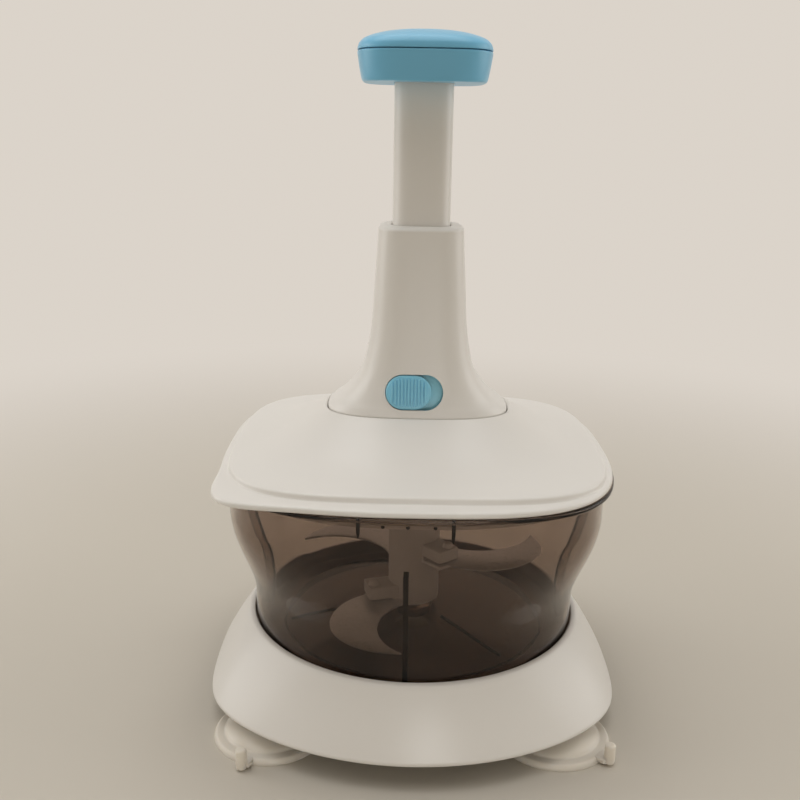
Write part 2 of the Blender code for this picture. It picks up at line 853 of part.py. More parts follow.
def make_blade(name, index):
    """A crescent: round the hub, out along one arc to the tip, and back along another."""
    outer = (blade_outer_x, blade_outer_y, blade_outer_radius)
    inner = (blade_inner_x, blade_inner_y, blade_inner_radius)
    root = (0.0, 0.0, root_radius + blade_root_gap)
    outer_points = arc(*outer, circle_crossing(*outer, *root, 1.0),
                       circle_crossing(*outer, *inner, -1.0), 18)
    inner_points = arc(*inner, circle_crossing(*inner, *outer, 1.0),
                       circle_crossing(*inner, *root, 1.0), 14)
    root_points = arc(*root, circle_crossing(*root, *inner, -1.0),
                      circle_crossing(*root, *outer, -1.0), 8)
    outline = outer_points + inner_points[1:] + root_points[1:-1]
    hole = arc(rivet_place, rivet_offset, rivet_radius + rivet_fit, 0.0,
               TURN * (TINY_STEPS - 1) / TINY_STEPS, TINY_STEPS)
    place = (Matrix.Translation((0.0, 0.0, blade_height(index)))
             @ Matrix.Rotation(blade_turns[index], 4, "Z"))
    return finish(plate(name, [outline, hole], blade_thickness, place), STEEL, 0.28,
                  metallic=1.0)


def make_rivet(index):
    """A moulded rivet that pins a blade in its block."""
    top = block_bottom(index) + block_height + clearance
    rivet = headed_pin("blade_rivet_%d" % (index + 1), rivet_radius, rivet_head_radius,
                       block_bottom(index), top, rivet_head_height, True,
                       rivet_spot(blade_turns[index]))
    return finish(rivet, GREY_PLASTIC, 0.4)


def headed_pin(name, shank, head, bottom, top, head_height, head_up, place):
    """A screw or rivet as one turned outline: a shank with a wider head at one end."""
    if head_up:
        profile = [(0.0, top + head_height), (head * 0.7, top + head_height),
                   (head, top + head_height * 0.45), (head, top), (shank, top), (shank, bottom),
                   (0.0, bottom)]
    else:
        low = bottom - head_height
        profile = [(0.0, top), (shank, top), (shank, bottom), (head, bottom),
                   (head, bottom - head_height * 0.55), (head * 0.7, low), (0.0, low)]
    return turned(name, profile, TINY_STEPS, place=place)


# Lid

def dome_sections(inset):
    """Rings of the lid's dome from the panel's edge up to the seam, moved in by the inset."""
    edge_x = panel_half_x - panel_draft
    edge_y = panel_half_y - panel_draft
    edge = flange_top + panel_step
    rings = [(rounded(edge_x - inset, edge_y - inset, lid_power), edge - inset * 0.9)]
    for half_share, rise_share in zip(dome_half_share, dome_rise_share):
        half_x = seam_half_x + (edge_x - seam_half_x) * half_share
        half_y = seam_half_y + (edge_y - seam_half_y) * half_share
        height = edge + (seam_top - edge) * rise_share
        outline = rounded(half_x - inset * 0.3, half_y - inset * 0.3, lid_power)
        rings.append((outline, height - inset))
    return rings


def make_lid_cover():
    """The lid's outer shell: flange with a lifting corner, stepped panel, dome and seat."""
    recess_x = seam_half_x + seam_gap
    recess_y = seam_half_y + seam_gap
    hole_x = recess_x - ledge_width
    hole_y = recess_y - ledge_width
    wall_x = panel_half_x - lid_wall
    wall_y = panel_half_y - lid_wall
    outer = [
        (flange_outline(0.0), lid_seat),
        (flange_outline(0.0), flange_top - lid_edge_round),
        (flange_outline(lid_edge_round), flange_top),
        (rounded(panel_half_x, panel_half_y, lid_power), flange_top),
    ]
    outer += dome_sections(0.0)
    outer += [
        (rounded(recess_x, recess_y, seam_power), seam_top),
        (rounded(recess_x, recess_y, seam_power), ledge_top),
        (rounded(hole_x, hole_y, seam_power), ledge_top),
        (rounded(hole_x, hole_y, seam_power), ledge_bottom),
        (rounded(recess_x + lid_wall, recess_y + lid_wall, seam_power), ledge_bottom),
    ]
    inner = dome_sections(lid_wall)[::-1]
    inner += [
        (rounded(wall_x, wall_y, lid_power), flange_top - 0.5 * lid_flange_thickness),
        (rounded(wall_x, wall_y, lid_power), lid_seat),
    ]
    cover = loft("lid_cover", outer + inner, SQUARE_STEPS, capped=False)
    for index, place in enumerate(liner_screw_places()):
        boss = cylinder("lid_boss_%d" % index, lid_boss_radius, liner_plate_top + clearance,
                        lid_seat + lid_rise * lid_boss_share, place, TINY_STEPS)
        join(cover, boss)
    for index, place in enumerate(liner_screw_places()):
        hole = cylinder("lid_hole_%d" % index, screw_hole_radius, liner_plate_top - overrun,
                        lid_seat + lid_rise * lid_hole_share, place, TINY_STEPS)
        cut(cover, hole)
    return finish(cover, WHITE, 0.3)


def liner_screw_places():
    return [(x * lid_boss_x, y * lid_boss_y) for x in (-1, 1) for y in (-1, 1)]


def tower_screw_places():
    return [(x * tower_boss_x, y * tower_boss_y) for x in (-1, 1) for y in (-1, 1)]


def soft(half):
    """The bowl's soft square at another size."""
    return rounded(half, half, bowl_top_power)


def make_liner():
    """The inner cover: a plate with the plug skirt that fills the bowl's mouth."""
    inner = liner_half - liner_skirt_wall
    hole = hub_radius + rod_fit
    sections = [
        (circle(hole), liner_plate_top),
        (soft(inner), liner_plate_top),
        (soft(inner), liner_top),
        (soft(liner_half), liner_top),
        (soft(liner_half), liner_skirt_bottom + liner_lip_height),
        (soft(liner_half + liner_lip), liner_skirt_bottom + liner_lip_height),
        (soft(liner_half + liner_lip), liner_skirt_bottom),
        (soft(inner), liner_skirt_bottom),
        (soft(inner), liner_plate_bottom),
        (circle(hole), liner_plate_bottom),
    ]
    liner = loft("lid_liner", sections, LARGE_STEPS, capped=False)
    for index, place in enumerate(liner_screw_places()):
        hole = cylinder("liner_hole_%d" % index, screw_hole_radius, liner_plate_bottom - overrun,
                        liner_plate_top + overrun, place, TINY_STEPS)
        cut(liner, hole)
    return finish(liner, WHITE, 0.4)


def make_seal():
    """The soft seal that sits on the skirt's lip, with two thin lips of its own."""
    bottom = liner_skirt_bottom + liner_lip_height + clearance
    inner = liner_half + clearance
    outer = bowl_top_half - bowl_wall - clearance
    sections = [
        (soft(inner), bottom),
        (soft(outer - seal_waist / 2.0), bottom),
        (soft(outer), bottom + seal_height * 0.2),
        (soft(outer - seal_waist), bottom + seal_height * 0.5),
        (soft(outer), bottom + seal_height * 0.8),
        (soft(outer - seal_waist / 2.0), bottom + seal_height),
        (soft(inner), bottom + seal_height),
    ]
    return finish(loft("lid_seal", sections, LARGE_STEPS, capped=False), MILKY, 0.6)


def make_bearing_cup():
    """The cup under the tower: it clamps the lid's ledge and carries rod and spring."""
    bore = circle(rod_journal_radius + rod_fit)
    flange = rounded(cup_flange_x, cup_flange_y, cup_power)
    flange_bottom = cup_top - cup_wall
    sections = [
        (bore, cup_floor_top),
        (rounded(cup_half_x - 1.5 * cup_wall, cup_half_y - 1.5 * cup_wall, cup_power), cup_floor_top),
        (rounded(cup_half_x - cup_wall, cup_half_y - cup_wall, cup_power), cup_top),
        (flange, cup_top),
        (flange, flange_bottom),
        (rounded(cup_half_x, cup_half_y, cup_power), flange_bottom),
        (rounded(cup_half_x - cup_wall / 2.0, cup_half_y - cup_wall / 2.0, cup_power),
         cup_floor_bottom),
        (bore, cup_floor_bottom),
    ]
    cup = loft("bearing_cup", sections, MIDDLE_STEPS, capped=False)
    for index, place in enumerate(tower_screw_places()):
        hole = cylinder("cup_hole_%d" % index, screw_hole_radius, flange_bottom - overrun,
                        cup_top + overrun, place, TINY_STEPS)
        cut(cup, hole)
    return finish(cup, WHITE, 0.4)


# Tower

def tower_sections(inset):
    """Rings of the tower from just above its foot to just below its top edge."""
    rings = []
    rows = zip(tower_height_shares, tower_flare_x_shares, tower_flare_y_shares, tower_power_shares)
    for height_share, share_x, share_y, power_share in rows:
        outline = rounded(tower_top_half * share_x - inset, tower_top_half * share_y - inset,
                          tower_power * power_share)
        rings.append((outline, seam_top + tower_height * height_share))
    return rings


def make_tower():
    """The tower: a flared shell on a foot in the lid's seat, with a guide for the plunger."""
    foot = rounded(seam_half_x, seam_half_y, seam_power)
    foot_in = rounded(seam_half_x - tower_wall, seam_half_y - tower_wall, seam_power)
    rounding = tower_top_half - tower_top_round
    guide = rounded(tube_half + slide_gap, tube_half + slide_gap, tube_power)
    guide_half = tube_half + slide_gap + guide_wall
    guide_out = rounded(guide_half, guide_half, tube_power)
    outer = [(foot, tower_foot), (foot, seam_top)]
    outer += tower_sections(0.0)
    outer += [
        (rounded(tower_top_half - 0.3 * tower_top_round, tower_top_half - 0.3 * tower_top_round,
                 tower_power), tower_top - 0.35 * tower_top_round),
        (rounded(rounding, rounding, tower_power * 0.9), tower_top),
        (guide, tower_top),
        (guide, guide_bottom),
        (guide_out, guide_bottom),
        (guide_out, tower_top - 1.5 * tower_wall),
        (rounded(tower_top_half - tower_wall, tower_top_half - tower_wall, tower_power),
         tower_top - 1.5 * tower_wall),
    ]
    inner = tower_sections(tower_wall)[-2::-1]
    inner += [(foot_in, seam_top - tower_wall / 2.0), (foot_in, tower_foot)]
    tower = loft("tower_housing", outer + inner, SQUARE_STEPS, capped=False)
    for index, place in enumerate(tower_screw_places()):
        boss = cylinder("tower_boss_%d" % index, tower_boss_radius, cup_top + clearance,
                        cup_top + tower_boss_height, place, TINY_STEPS)
        join(tower, boss)
    for index, place in enumerate(tower_screw_places()):
        hole = cylinder("tower_hole_%d" % index, screw_hole_radius, cup_top - overrun,
                        cup_top + tower_screw_length, place, TINY_STEPS)
        cut(tower, hole)
    slot = plate("lock_slot", [stadium(-slot_length / 2.0, slot_length / 2.0, slot_width / 2.0, 8)],
                 4.0 * tower_wall, lock_frame(0.0))
    cut(tower, slot)
    return finish(tower, WHITE, 0.3)


def lock_frame(depth):
    """The slot's own frame: X along the slot, Y up its tilted face, Z outwards."""
    return (Matrix.Translation(slot_place) @ Matrix.Rotation(TURN / 4.0 - slot_tilt, 4, "X")
            @ Matrix.Translation((0.0, 0.0, -depth)))


# Lock switch

def button_left():
    """Left end of the button in the slot's frame, with the lock off."""
    return -slot_length / 2.0 + button_gap


def make_lock_button():
    """The ribbed thumb button that fills the slot's left end when the lock is off."""
    left = button_left()
    right = left + button_length
    half = slot_width / 2.0 - button_gap
    height = slider_depth + button_proud - clearance
    middle = (slider_depth - clearance - button_proud) / 2.0
    button = plate("lock_button", [stadium(left, right, half, 8)], height, lock_frame(middle))
    span = button_length - 2.0 * button_rib_margin
    for index in range(button_rib_count):
        x = left + button_rib_margin + span * index / (button_rib_count - 1)
        reach = math.sqrt(max(0.0, half ** 2 - max(0.0, left + half - x, x - right + half) ** 2))
        reach -= button_rib_width
        outline = [(x - button_rib_width / 2.0, -reach), (x + button_rib_width / 2.0, -reach),
                   (x + button_rib_width / 2.0, reach), (x - button_rib_width / 2.0, reach)]
        rib = plate("grip_rib_%d" % index, [outline], 2.0 * button_rib_height,
                    lock_frame(-button_proud + clearance))
        join(button, rib)
    return finish(button, SKY_BLUE, 0.35)


def make_lock_slider():
    """The slide plate behind the slot, with the tongue that holds the plunger down."""
    centre = button_left() + button_length / 2.0
    plate_middle = slider_depth + slider_thickness / 2.0
    slider = plate("lock_slider",
                   [stadium(centre - slider_left, centre + slider_right, slider_half_width, 8)],
                   slider_thickness, lock_frame(plate_middle))
    tongue_bottom = tongue_top - tongue_thickness
    plate_y = -slot_face_y + slider_depth
    inner_y = -tube_half - slide_gap - clearance
    stem = box("tongue_stem", (tongue_x, plate_y - tongue_stem, tongue_bottom),
               (tongue_x + tongue_width, plate_y, tongue_top + tongue_thickness))
    tongue = box("tongue", (tongue_x, plate_y - tongue_stem * 0.5, tongue_bottom),
                 (tongue_x + tongue_width, inner_y, tongue_top))
    join(slider, stem)
    join(slider, tongue)
    return finish(slider, SKY_BLUE, 0.4)


# Plunger

def make_plunger_tube():
    """The square tube that is pressed down, closed at its top by a web."""
    outside = rounded(tube_half, tube_half, tube_power)
    inside = rounded(tube_half - tube_wall, tube_half - tube_wall, tube_power)
    flange = rounded(tube_flange_half, tube_flange_half, tube_power)
    hole = circle(screw_hole_radius)
    sections = [
        (outside, tube_top),
        (outside, tube_bottom + tube_flange_thickness),
        (flange, tube_bottom + tube_flange_thickness),
        (flange, tube_bottom),
        (inside, tube_bottom),
        (inside, tube_top - tube_web),
        (hole, tube_top - tube_web),
        (hole, tube_top),
    ]
    tube = loft("plunger_tube", sections, SQUARE_STEPS, capped=False)
    notch_left = tongue_x - 2.0 * clearance
    notch = box("tongue_notch",
                (notch_left, -tube_flange_half - overrun, tube_bottom - overrun),
                (tongue_x + tongue_width + 2.0 * clearance, -tube_half - clearance / 2.0,
                 tube_bottom + tube_flange_thickness + overrun))
    cut(tube, notch)
    return finish(tube, WHITE, 0.28)


def make_knob_skirt():
    """The lower half of the knob, with the square socket for the tube."""
    low = rounded(knob_low_half, knob_low_half, knob_power)
    low_in = rounded(knob_low_half - knob_foot_round, knob_low_half - knob_foot_round, knob_power)
    high = rounded(knob_half, knob_half, knob_power)
    middle = blended(low, high, 0.72)
    top = knob_bottom + knob_skirt_height
    socket = rounded(tube_half + clearance, tube_half + clearance, tube_power)
    web_bottom = tube_top + clearance
    web_top = web_bottom + knob_web
    rim_half_in = knob_half - knob_wall
    lip_half = rim_half_in - knob_lip_gap
    sections = [
        (socket, web_bottom),
        (socket, knob_bottom),
        (low_in, knob_bottom),
        (low, knob_bottom + knob_foot_round * 0.7),
        (middle, knob_bottom + knob_skirt_height * 0.45),
        (high, top),
        (rounded(lip_half, lip_half, knob_power), top),
        (rounded(lip_half, lip_half, knob_power), top + knob_lip_height),
        (rounded(lip_half - knob_wall, lip_half - knob_wall, knob_power), top + knob_lip_height),
        (rounded(lip_half - knob_wall, lip_half - knob_wall, knob_power), web_top),
        (circle(screw_hole_radius), web_top),
        (circle(screw_hole_radius), web_bottom),
    ]
    return finish(loft("knob_skirt", sections, SQUARE_STEPS, capped=False), SKY_BLUE, 0.3)


def make_knob_cap():
    """The crowned cap of the knob, an open shell that sits over the skirt's lip."""
    bottom = knob_bottom + knob_skirt_height + knob_seam
    outer = []
    inner = []
    for share, rise in zip(knob_crown_shares, knob_crown_rise_shares):
        half = knob_half * share
        power = knob_power - (knob_power - 2.0) * rise
        outer.append((rounded(half, half, power), bottom + knob_cap_height * rise))
        room = (knob_half - knob_wall) * share
        inner.append((rounded(room, room, power),
                      bottom + (knob_cap_height - knob_wall) * rise))
    cap = loft("knob_cap", outer[::-1] + inner, SQUARE_STEPS, capped=True)
    return finish(cap, SKY_BLUE, 0.28)


def make_knob_screw():
    """The screw that draws the knob onto the tube."""
    seat = tube_top + 2.0 * clearance + knob_web
    screw = headed_pin("knob_screw", screw_radius, screw_head_radius, seat - knob_screw_length,
                       seat, screw_head_height, True, (0.0, 0.0))
    return finish(screw, STEEL, 0.35, metallic=1.0)


# Drive

def twist_at(height):
    """The strip's turn at a height: left handed, so that a press turns the rod clockwise."""
    return -TURN * (height - nut_bottom) / rod_lead


def twisted_strip(name, width, thickness, bottom, top, swollen):
    """A flat strip twisted about the axis: a rectangle that turns as it climbs.

    Its flats are split along the diagonal that keeps the strip just inside the true
    surface or, swollen, just outside it, so that a rod made thin runs free in a slot
    made swollen at every turn.
    """
    shape = bmesh.new()
    count = max(2, int(math.ceil(abs(twist_at(top) - twist_at(bottom)) / rod_step_turn)))
    half_w = width / 2.0
    half_t = thickness / 2.0
    corners = [(-half_w, -half_t), (0.0, -half_t), (half_w, -half_t),
               (half_w, half_t), (0.0, half_t), (-half_w, half_t)]
    rings = []
    for index in range(count + 1):
        height = bottom + (top - bottom) * index / count
        turn = Matrix.Rotation(twist_at(height), 3, "Z")
        rings.append([shape.verts.new(turn @ Vector((x, y, 0.0)) + Vector((0.0, 0.0, height)))
                      for x, y in corners])
    for lower, upper in zip(rings, rings[1:]):
        for index in range(len(corners)):
            following = (index + 1) % len(corners)
            first, second = lower[index], lower[following]
            third, fourth = upper[following], upper[index]
            if swollen:
                shape.faces.new((first, second, third))
                shape.faces.new((first, third, fourth))
            else:
                shape.faces.new((first, second, fourth))
                shape.faces.new((second, third, fourth))
    shape.faces.new(rings[0])
    shape.faces.new(rings[-1])
    return add_mesh(name, shape, smooth=False)


def make_rod():
    """The twisted drive rod with its collar and its journal below."""
    rod = twisted_strip("twisted_rod", rod_width, rod_thickness, collar_top - overrun, rod_top,
                        swollen=False)
    profile = [
        (0.0, collar_top),
        (rod_collar_radius, collar_top),
        (rod_collar_radius, collar_bottom),
        (rod_journal_radius, collar_bottom),
        (rod_journal_radius, clutch_tip),
        (0.0, clutch_tip),
    ]
    join(rod, turned("journal", profile, SMALL_STEPS))
    return finish(rod, STEEL, 0.25, metallic=1.0)


def make_nut():
    """The drive nut in the tube's foot, with a twisted slot for the rod."""
    half = tube_half - tube_wall - clearance
    outline = rounded(half, half, tube_power)
    nut = loft("drive_nut", [(outline, nut_bottom), (outline, nut_top)], MIDDLE_STEPS, capped=True)
    slot = twisted_strip("nut_slot", rod_width + 2.0 * rod_fit, rod_thickness + 2.0 * rod_fit,
                         nut_bottom - overrun, nut_top + overrun, swollen=True)
    cut(nut, slot)
    return finish(nut, GREY_PLASTIC, 0.5)


def make_washer():
    """The thrust washer between the rod's collar and the bearing cup."""
    inner = rod_journal_radius + rod_fit
    profile = [
        (inner, washer_bottom + washer_thickness),
        (washer_radius, washer_bottom + washer_thickness),
        (washer_radius, washer_bottom),
        (inner, washer_bottom),
    ]
    return finish(turned("thrust_washer", profile, SMALL_STEPS, closed=True), STEEL, 0.3, 1.0)


def saw_ring(name, inner, outer, flat, valley, tip, first):
    """A face ratchet: a ring with one flat side and saw teeth on the other."""
    shape = bmesh.new()
    sections = []
    for tooth in range(clutch_teeth):
        base = first + TURN * tooth / clutch_teeth
        run = TURN / clutch_teeth
        for share in (0.0, 0.34, 0.67, 1.0 - clutch_step_share):
            ramp = share / (1.0 - clutch_step_share)
            sections.append((base + run * share, tip + (valley - tip) * ramp))
    rings = []
    for angle, face in sections:
        ring = []
        for radius, height in ((inner, flat), (outer, flat), (outer, face), (inner, face)):
            ring.append(shape.verts.new((radius * math.cos(angle), radius * math.sin(angle), height)))
        rings.append(ring)
    for index, ring in enumerate(rings):
        following = rings[(index + 1) % len(rings)]
        for corner in range(4):
            other = (corner + 1) % 4
            shape.faces.new((ring[corner], ring[other], following[other], following[corner]))
    return add_mesh(name, shape, smooth=False)


def make_clutch_driver():
    """The upper half of the one-way clutch, on the rod's journal."""
    driver = saw_ring("clutch_driver", rod_journal_radius + clearance, clutch_radius, clutch_top,
                      clutch_valley, clutch_tip, 0.0)
    return finish(driver, GREY_PLASTIC, 0.45)


def make_drive_socket():
    """The lower half of the clutch and the socket that drives the blade hub."""
    lag = -clutch_lag_share * TURN / clutch_teeth
    socket = saw_ring("drive_socket", hub_stub_radius, socket_flange_radius, socket_flange_bottom,
                      clutch_valley - clutch_gap, clutch_tip - clutch_gap, lag)
    body_top = clutch_tip - clutch_gap - clearance
    profile = [
        (0.0, body_top),
        (hub_radius, body_top),
        (hub_radius, socket_bottom),
        (0.0, socket_bottom),
    ]
    join(socket, turned("socket_body", profile, MIDDLE_STEPS))
    bore = cylinder("hex_bore", hub_stub_radius + rod_fit, socket_bottom - overrun,
                    socket_bottom + socket_bore_depth, sides=6)
    cut(socket, bore)
    return finish(socket, GREY_PLASTIC, 0.45)


def spring_points(bottom, top):
    """The helix of the return spring, closed up over its first and last turn."""
    count = spring_turns * spring_curl_points
    closed = 1.0 / spring_turns
    wire = 2.0 * spring_wire_radius + spring_end_gap
    points = []
    for index in range(count + 1):
        share = index / count
        angle = TURN * spring_turns * share
        if share < closed:
            height = bottom + wire * share / closed
        elif share > 1.0 - closed:
            height = top - wire * (1.0 - share) / closed
        else:
            run = (share - closed) / (1.0 - 2.0 * closed)
            height = bottom + wire + (top - bottom - 2.0 * wire) * run
        points.append(Vector((spring_radius * math.cos(angle), spring_radius * math.sin(angle),
                              height)))
    return points


def spring_self_gap(points):
    """The least gap of the wire to itself, more than half a turn along."""
    apart = spring_curl_points // 2
    least = min((first - second).length
                for start, first in enumerate(points)
                for second in points[start + apart:])
    return least - 2.0 * spring_wire_radius


def make_spring():
    """The return spring between the bearing cup and the plunger's foot."""
    bottom = cup_floor_top + clearance + spring_wire_radius
    top = tube_bottom - clearance - spring_wire_radius
    points = spring_points(bottom, top)
    print("return spring, least gap to itself: %.2f mm" % (spring_self_gap(points) / MM))
    curve = bpy.data.curves.new("return_spring", "CURVE")
    curve.dimensions = "3D"
    curve.bevel_depth = spring_wire_radius
    curve.bevel_resolution = 1
    curve.use_fill_caps = True
    spline = curve.splines.new("POLY")
    spline.points.add(len(points) - 1)
    for target, point in zip(spline.points, points):
        target.co = (*point, 1.0)
    item = bpy.data.objects.new("return_spring", curve)
    PARTS.objects.link(item)
    return finish(item, STEEL, 0.3, metallic=1.0)


# Screws

def make_tower_screw(index, place):
    """A screw up through the bearing cup into one of the tower's bosses."""
    screw = headed_pin("tower_screw_%d" % (index + 1), screw_radius, screw_head_radius,
                       cup_top - cup_wall - clearance, cup_top + tower_screw_length - overrun,
                       screw_head_height, False, place)
    return finish(screw, STEEL, 0.35, metallic=1.0)


def make_liner_screw(index, place):
    """A screw up through the liner into one of the lid's bosses."""
    screw = headed_pin("liner_screw_%d" % (index + 1), screw_radius, screw_head_radius,
                       liner_plate_bottom - clearance,
                       lid_seat + lid_rise * lid_hole_share - overrun,
                       screw_head_height, False, place)
    return finish(screw, STEEL, 0.35, metallic=1.0)


def main():
    make_stand()
    for name, place in foot_places().items():
        make_foot(name, place)
    make_bowl()
    make_centre_pin()
    make_hub()
    for index, name in enumerate(("blade_lower", "blade_middle", "blade_upper")):
        make_blade(name, index)
        make_rivet(index)
    make_lid_cover()
    make_liner()
    make_seal()
    make_bearing_cup()
    make_tower()
    make_lock_button()
    make_lock_slider()
    make_plunger_tube()
    make_knob_skirt()
    make_knob_cap()
    make_knob_screw()
    make_rod()
    make_nut()
    make_washer()
    make_clutch_driver()
    make_drive_socket()
    make_spring()
    for index, place in enumerate(tower_screw_places()):
        make_tower_screw(index, place)
    for index, place in enumerate(liner_screw_places()):
        make_liner_screw(index, place)


main()
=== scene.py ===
"""Looks of the press-down food chopper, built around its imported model.

Every shape is a surface of two parameters worked out with numpy. Most are a run of rings,
each a radius and a height at every angle, rounded off where the run turns a corner. The
others are slabs on an outline and runs of loops. Lengths of the chopper are written in
millimetres and multiplied by MM, and those of the studio in metres.
"""
import math

import bpy
import numpy as np
from bpy.props import (BoolProperty, FloatProperty, FloatVectorProperty, IntProperty,
                       PointerProperty)
from mathutils import Matrix, Vector


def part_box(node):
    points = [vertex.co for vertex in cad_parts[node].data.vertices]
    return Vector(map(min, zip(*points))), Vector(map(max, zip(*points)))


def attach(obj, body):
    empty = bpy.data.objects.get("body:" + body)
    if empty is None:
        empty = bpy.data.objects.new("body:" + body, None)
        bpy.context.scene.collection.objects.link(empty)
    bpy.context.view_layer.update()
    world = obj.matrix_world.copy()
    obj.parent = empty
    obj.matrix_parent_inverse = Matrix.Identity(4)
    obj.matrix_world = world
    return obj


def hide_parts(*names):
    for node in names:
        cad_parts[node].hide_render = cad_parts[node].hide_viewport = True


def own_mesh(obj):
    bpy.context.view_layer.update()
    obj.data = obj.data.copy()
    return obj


bl_info = {
    "name": "Food Chopper Looks",
    "version": (1, 0, 0),
    "blender": (4, 5, 0),
    "location": "View3D > Sidebar > Chopper",
    "description": "Builds the finished surfaces of a press-down food chopper",
    "category": "Add Mesh",
}

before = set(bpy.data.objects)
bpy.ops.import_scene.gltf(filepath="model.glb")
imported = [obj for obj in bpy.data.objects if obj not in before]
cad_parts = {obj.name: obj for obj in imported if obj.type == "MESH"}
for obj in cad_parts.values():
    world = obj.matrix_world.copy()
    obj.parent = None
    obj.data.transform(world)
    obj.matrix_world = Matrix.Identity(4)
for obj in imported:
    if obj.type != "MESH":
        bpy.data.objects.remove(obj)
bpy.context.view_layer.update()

MM = 0.001
DEGREE = math.pi / 180.0
TURN = 2.0 * math.pi

# Facets round a large ring, a middle one, a small one and a wire, along a rounded corner
# and along a turn of wire
LARGE_RING = 288
MIDDLE_RING = 96
SMALL_RING = 40
WIRE_RING = 14
CORNER_STEPS = 5
WIRE_STEPS = 36
# Radius of the small hole that a fan of triangles closes, and the least angle of a crease
pole = 0.05 * MM
crease_angle = 38.0 * DEGREE


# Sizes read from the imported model

def low(node):
    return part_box(node)[0]


def high(node):
    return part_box(node)[1]


gap = 0.3 * MM
stand_top = high("stand").z
stand_edge = low("stand").z
bowl_seat = low("bowl").z
bowl_top = high("bowl").z
rim_half = high("bowl").x
lid_half = high("lid_cover").x
lid_seat = bowl_top + gap
seam_top = high("lid_cover").z
seam_half_x = high("tower_housing").x
seam_half_y = high("tower_housing").y
tower_top = high("tower_housing").z
tube_bottom = low("plunger_tube").z
tube_top = high("plunger_tube").z
knob_half = high("knob_cap").x
knob_top = high("knob_cap").z
knob_split = low("knob_cap").z
knob_bottom = low("knob_skirt").z
liner_bottom = low("lid_liner").z
hub_bottom = low("blade_hub").z
hub_stub_top = high("blade_hub").z
socket_bottom = low("drive_socket").z

# Stand
recess_radius = 82.4 * MM
platform_drop = 12.5 * MM
collar_lip = 3.9 * MM
skirt_side = 103.9 * MM
skirt_bulge_x = 114.6 * MM
skirt_bulge_y = 99.4 * MM
skirt_power = 18.0
skirt_wall = 2.4 * MM
drain_radius = 9.0 * MM
foot_boss_radius = 7.0 * MM

# Bowl
bowl_wall = 2.2 * MM
bowl_low_radius = 81.95 * MM
bowl_top_half = 92.6 * MM
bowl_top_power = 2.5
flare_start = 22.7 * MM
flare_end = 74.7 * MM
foot_ring_radius = 72.0 * MM
foot_ring_width = 5.5 * MM
floor_rise = 3.4 * MM
floor_crown = 6.2 * MM
boss_radius = 8.6 * MM
boss_height = 13.9 * MM
boss_bore = 3.3 * MM
boss_socket_depth = 5.6 * MM
rim_thickness = 2.0 * MM
rim_power = 3.0
rim_half_x = rim_half - 1.0 * MM
fin_top = 68.2 * MM
fin_depth = 4.0 * MM
fin_edge = 0.9 * MM
fin_thickness = 2.3 * MM
fin_first = -3.0 * DEGREE
floor_rib_first = 71.0 * DEGREE
floor_rib_start = 22.0 * MM
floor_rib_end = 64.0 * MM
smoke_density = 50.0
smoke_ior = 1.32
# Colours between which the smoked wall's surface varies
smoke_tones = ((0.545, 0.47, 0.42), (0.585, 0.51, 0.46))
# Painted shade: dark marks in the wall below the rim stand in for the shade of small pips and
# notches there. Each: place across, top below the bowl's top, length
mouth_shade_marks = ((-25.3 * MM, 2.4 * MM, 8.4 * MM), (15.1 * MM, 2.4 * MM, 9.6 * MM),
               (-14.8 * MM, 4.6 * MM, 1.2 * MM), (-4.2 * MM, 4.6 * MM, 1.2 * MM),
               (7.4 * MM, 4.6 * MM, 1.2 * MM))

# Lid
flange_thickness = 2.8 * MM
panel_half_x = lid_half - 5.2 * MM
panel_half_y = lid_half - 9.3 * MM
panel_step = 3.0 * MM
panel_draft = 1.9 * MM
panel_power = 3.7
lid_power = 3.0
flange_half_x = lid_half - 1.0 * MM
tab_reach = 12.5 * MM
tab_turn = -136.8 * DEGREE
tab_spread = 8.5 * DEGREE
lid_wall = 2.2 * MM
dome_half_shares = (0.76, 0.53, 0.255)
dome_rise_shares = (0.116, 0.29, 0.63)
ledge_drop = 4.5 * MM
ledge_width = 6.3 * MM
seam_gap = 0.35 * MM
seam_power = 3.0
liner_half = 87.1 * MM
liner_plate_drop = 3.2 * MM
liner_plate = 2.0 * MM
liner_skirt_wall = 2.2 * MM
liner_lip = 1.5 * MM
liner_lip_height = 1.8 * MM
seal_height = 3.6 * MM

# Tower
tower_wall = 2.2 * MM
tower_half = 20.4 * MM
tower_power = 3.6
tower_edge_round = 3.2 * MM
tower_height_shares = (0.03, 0.066, 0.13, 0.197, 0.283, 0.45, 0.66, 0.955)
tower_x_shares = (2.04, 1.81, 1.555, 1.37, 1.255, 1.137, 1.076, 1.0)
tower_y_shares = (1.368, 1.314, 1.245, 1.206, 1.172, 1.127, 1.076, 1.0)
tower_power_shares = (0.86, 0.9, 0.95, 1.0, 1.0, 1.0, 1.0, 1.0)
guide_length = 28.4 * MM
guide_wall = 2.0 * MM
guide_gap = 0.35 * MM
slot_centre = Vector((-2.0 * MM, -25.4 * MM, seam_top + 11.4 * MM))
slot_length = 27.6 * MM
slot_width = 17.0 * MM
slot_tilt = 11.6 * DEGREE
button_length = 21.7 * MM
button_gap = 0.35 * MM
button_proud = 1.0 * MM
slider_depth = 3.8 * MM
slider_thickness = 1.6 * MM
slider_half_width = 9.3 * MM
slider_left_reach = 13.6 * MM
slider_right_reach = 17.2 * MM
# The catch tongue's sides, its stem's front, its own front, and the notch it passes
tongue_sides = (-9.5 * MM, -4.5 * MM)
stem_front = -22.9 * MM
tongue_front = -22.3 * MM
notch_sides = (-10.1 * MM, -3.9 * MM)
notch_depth = (-20.0 * MM, -13.85 * MM)

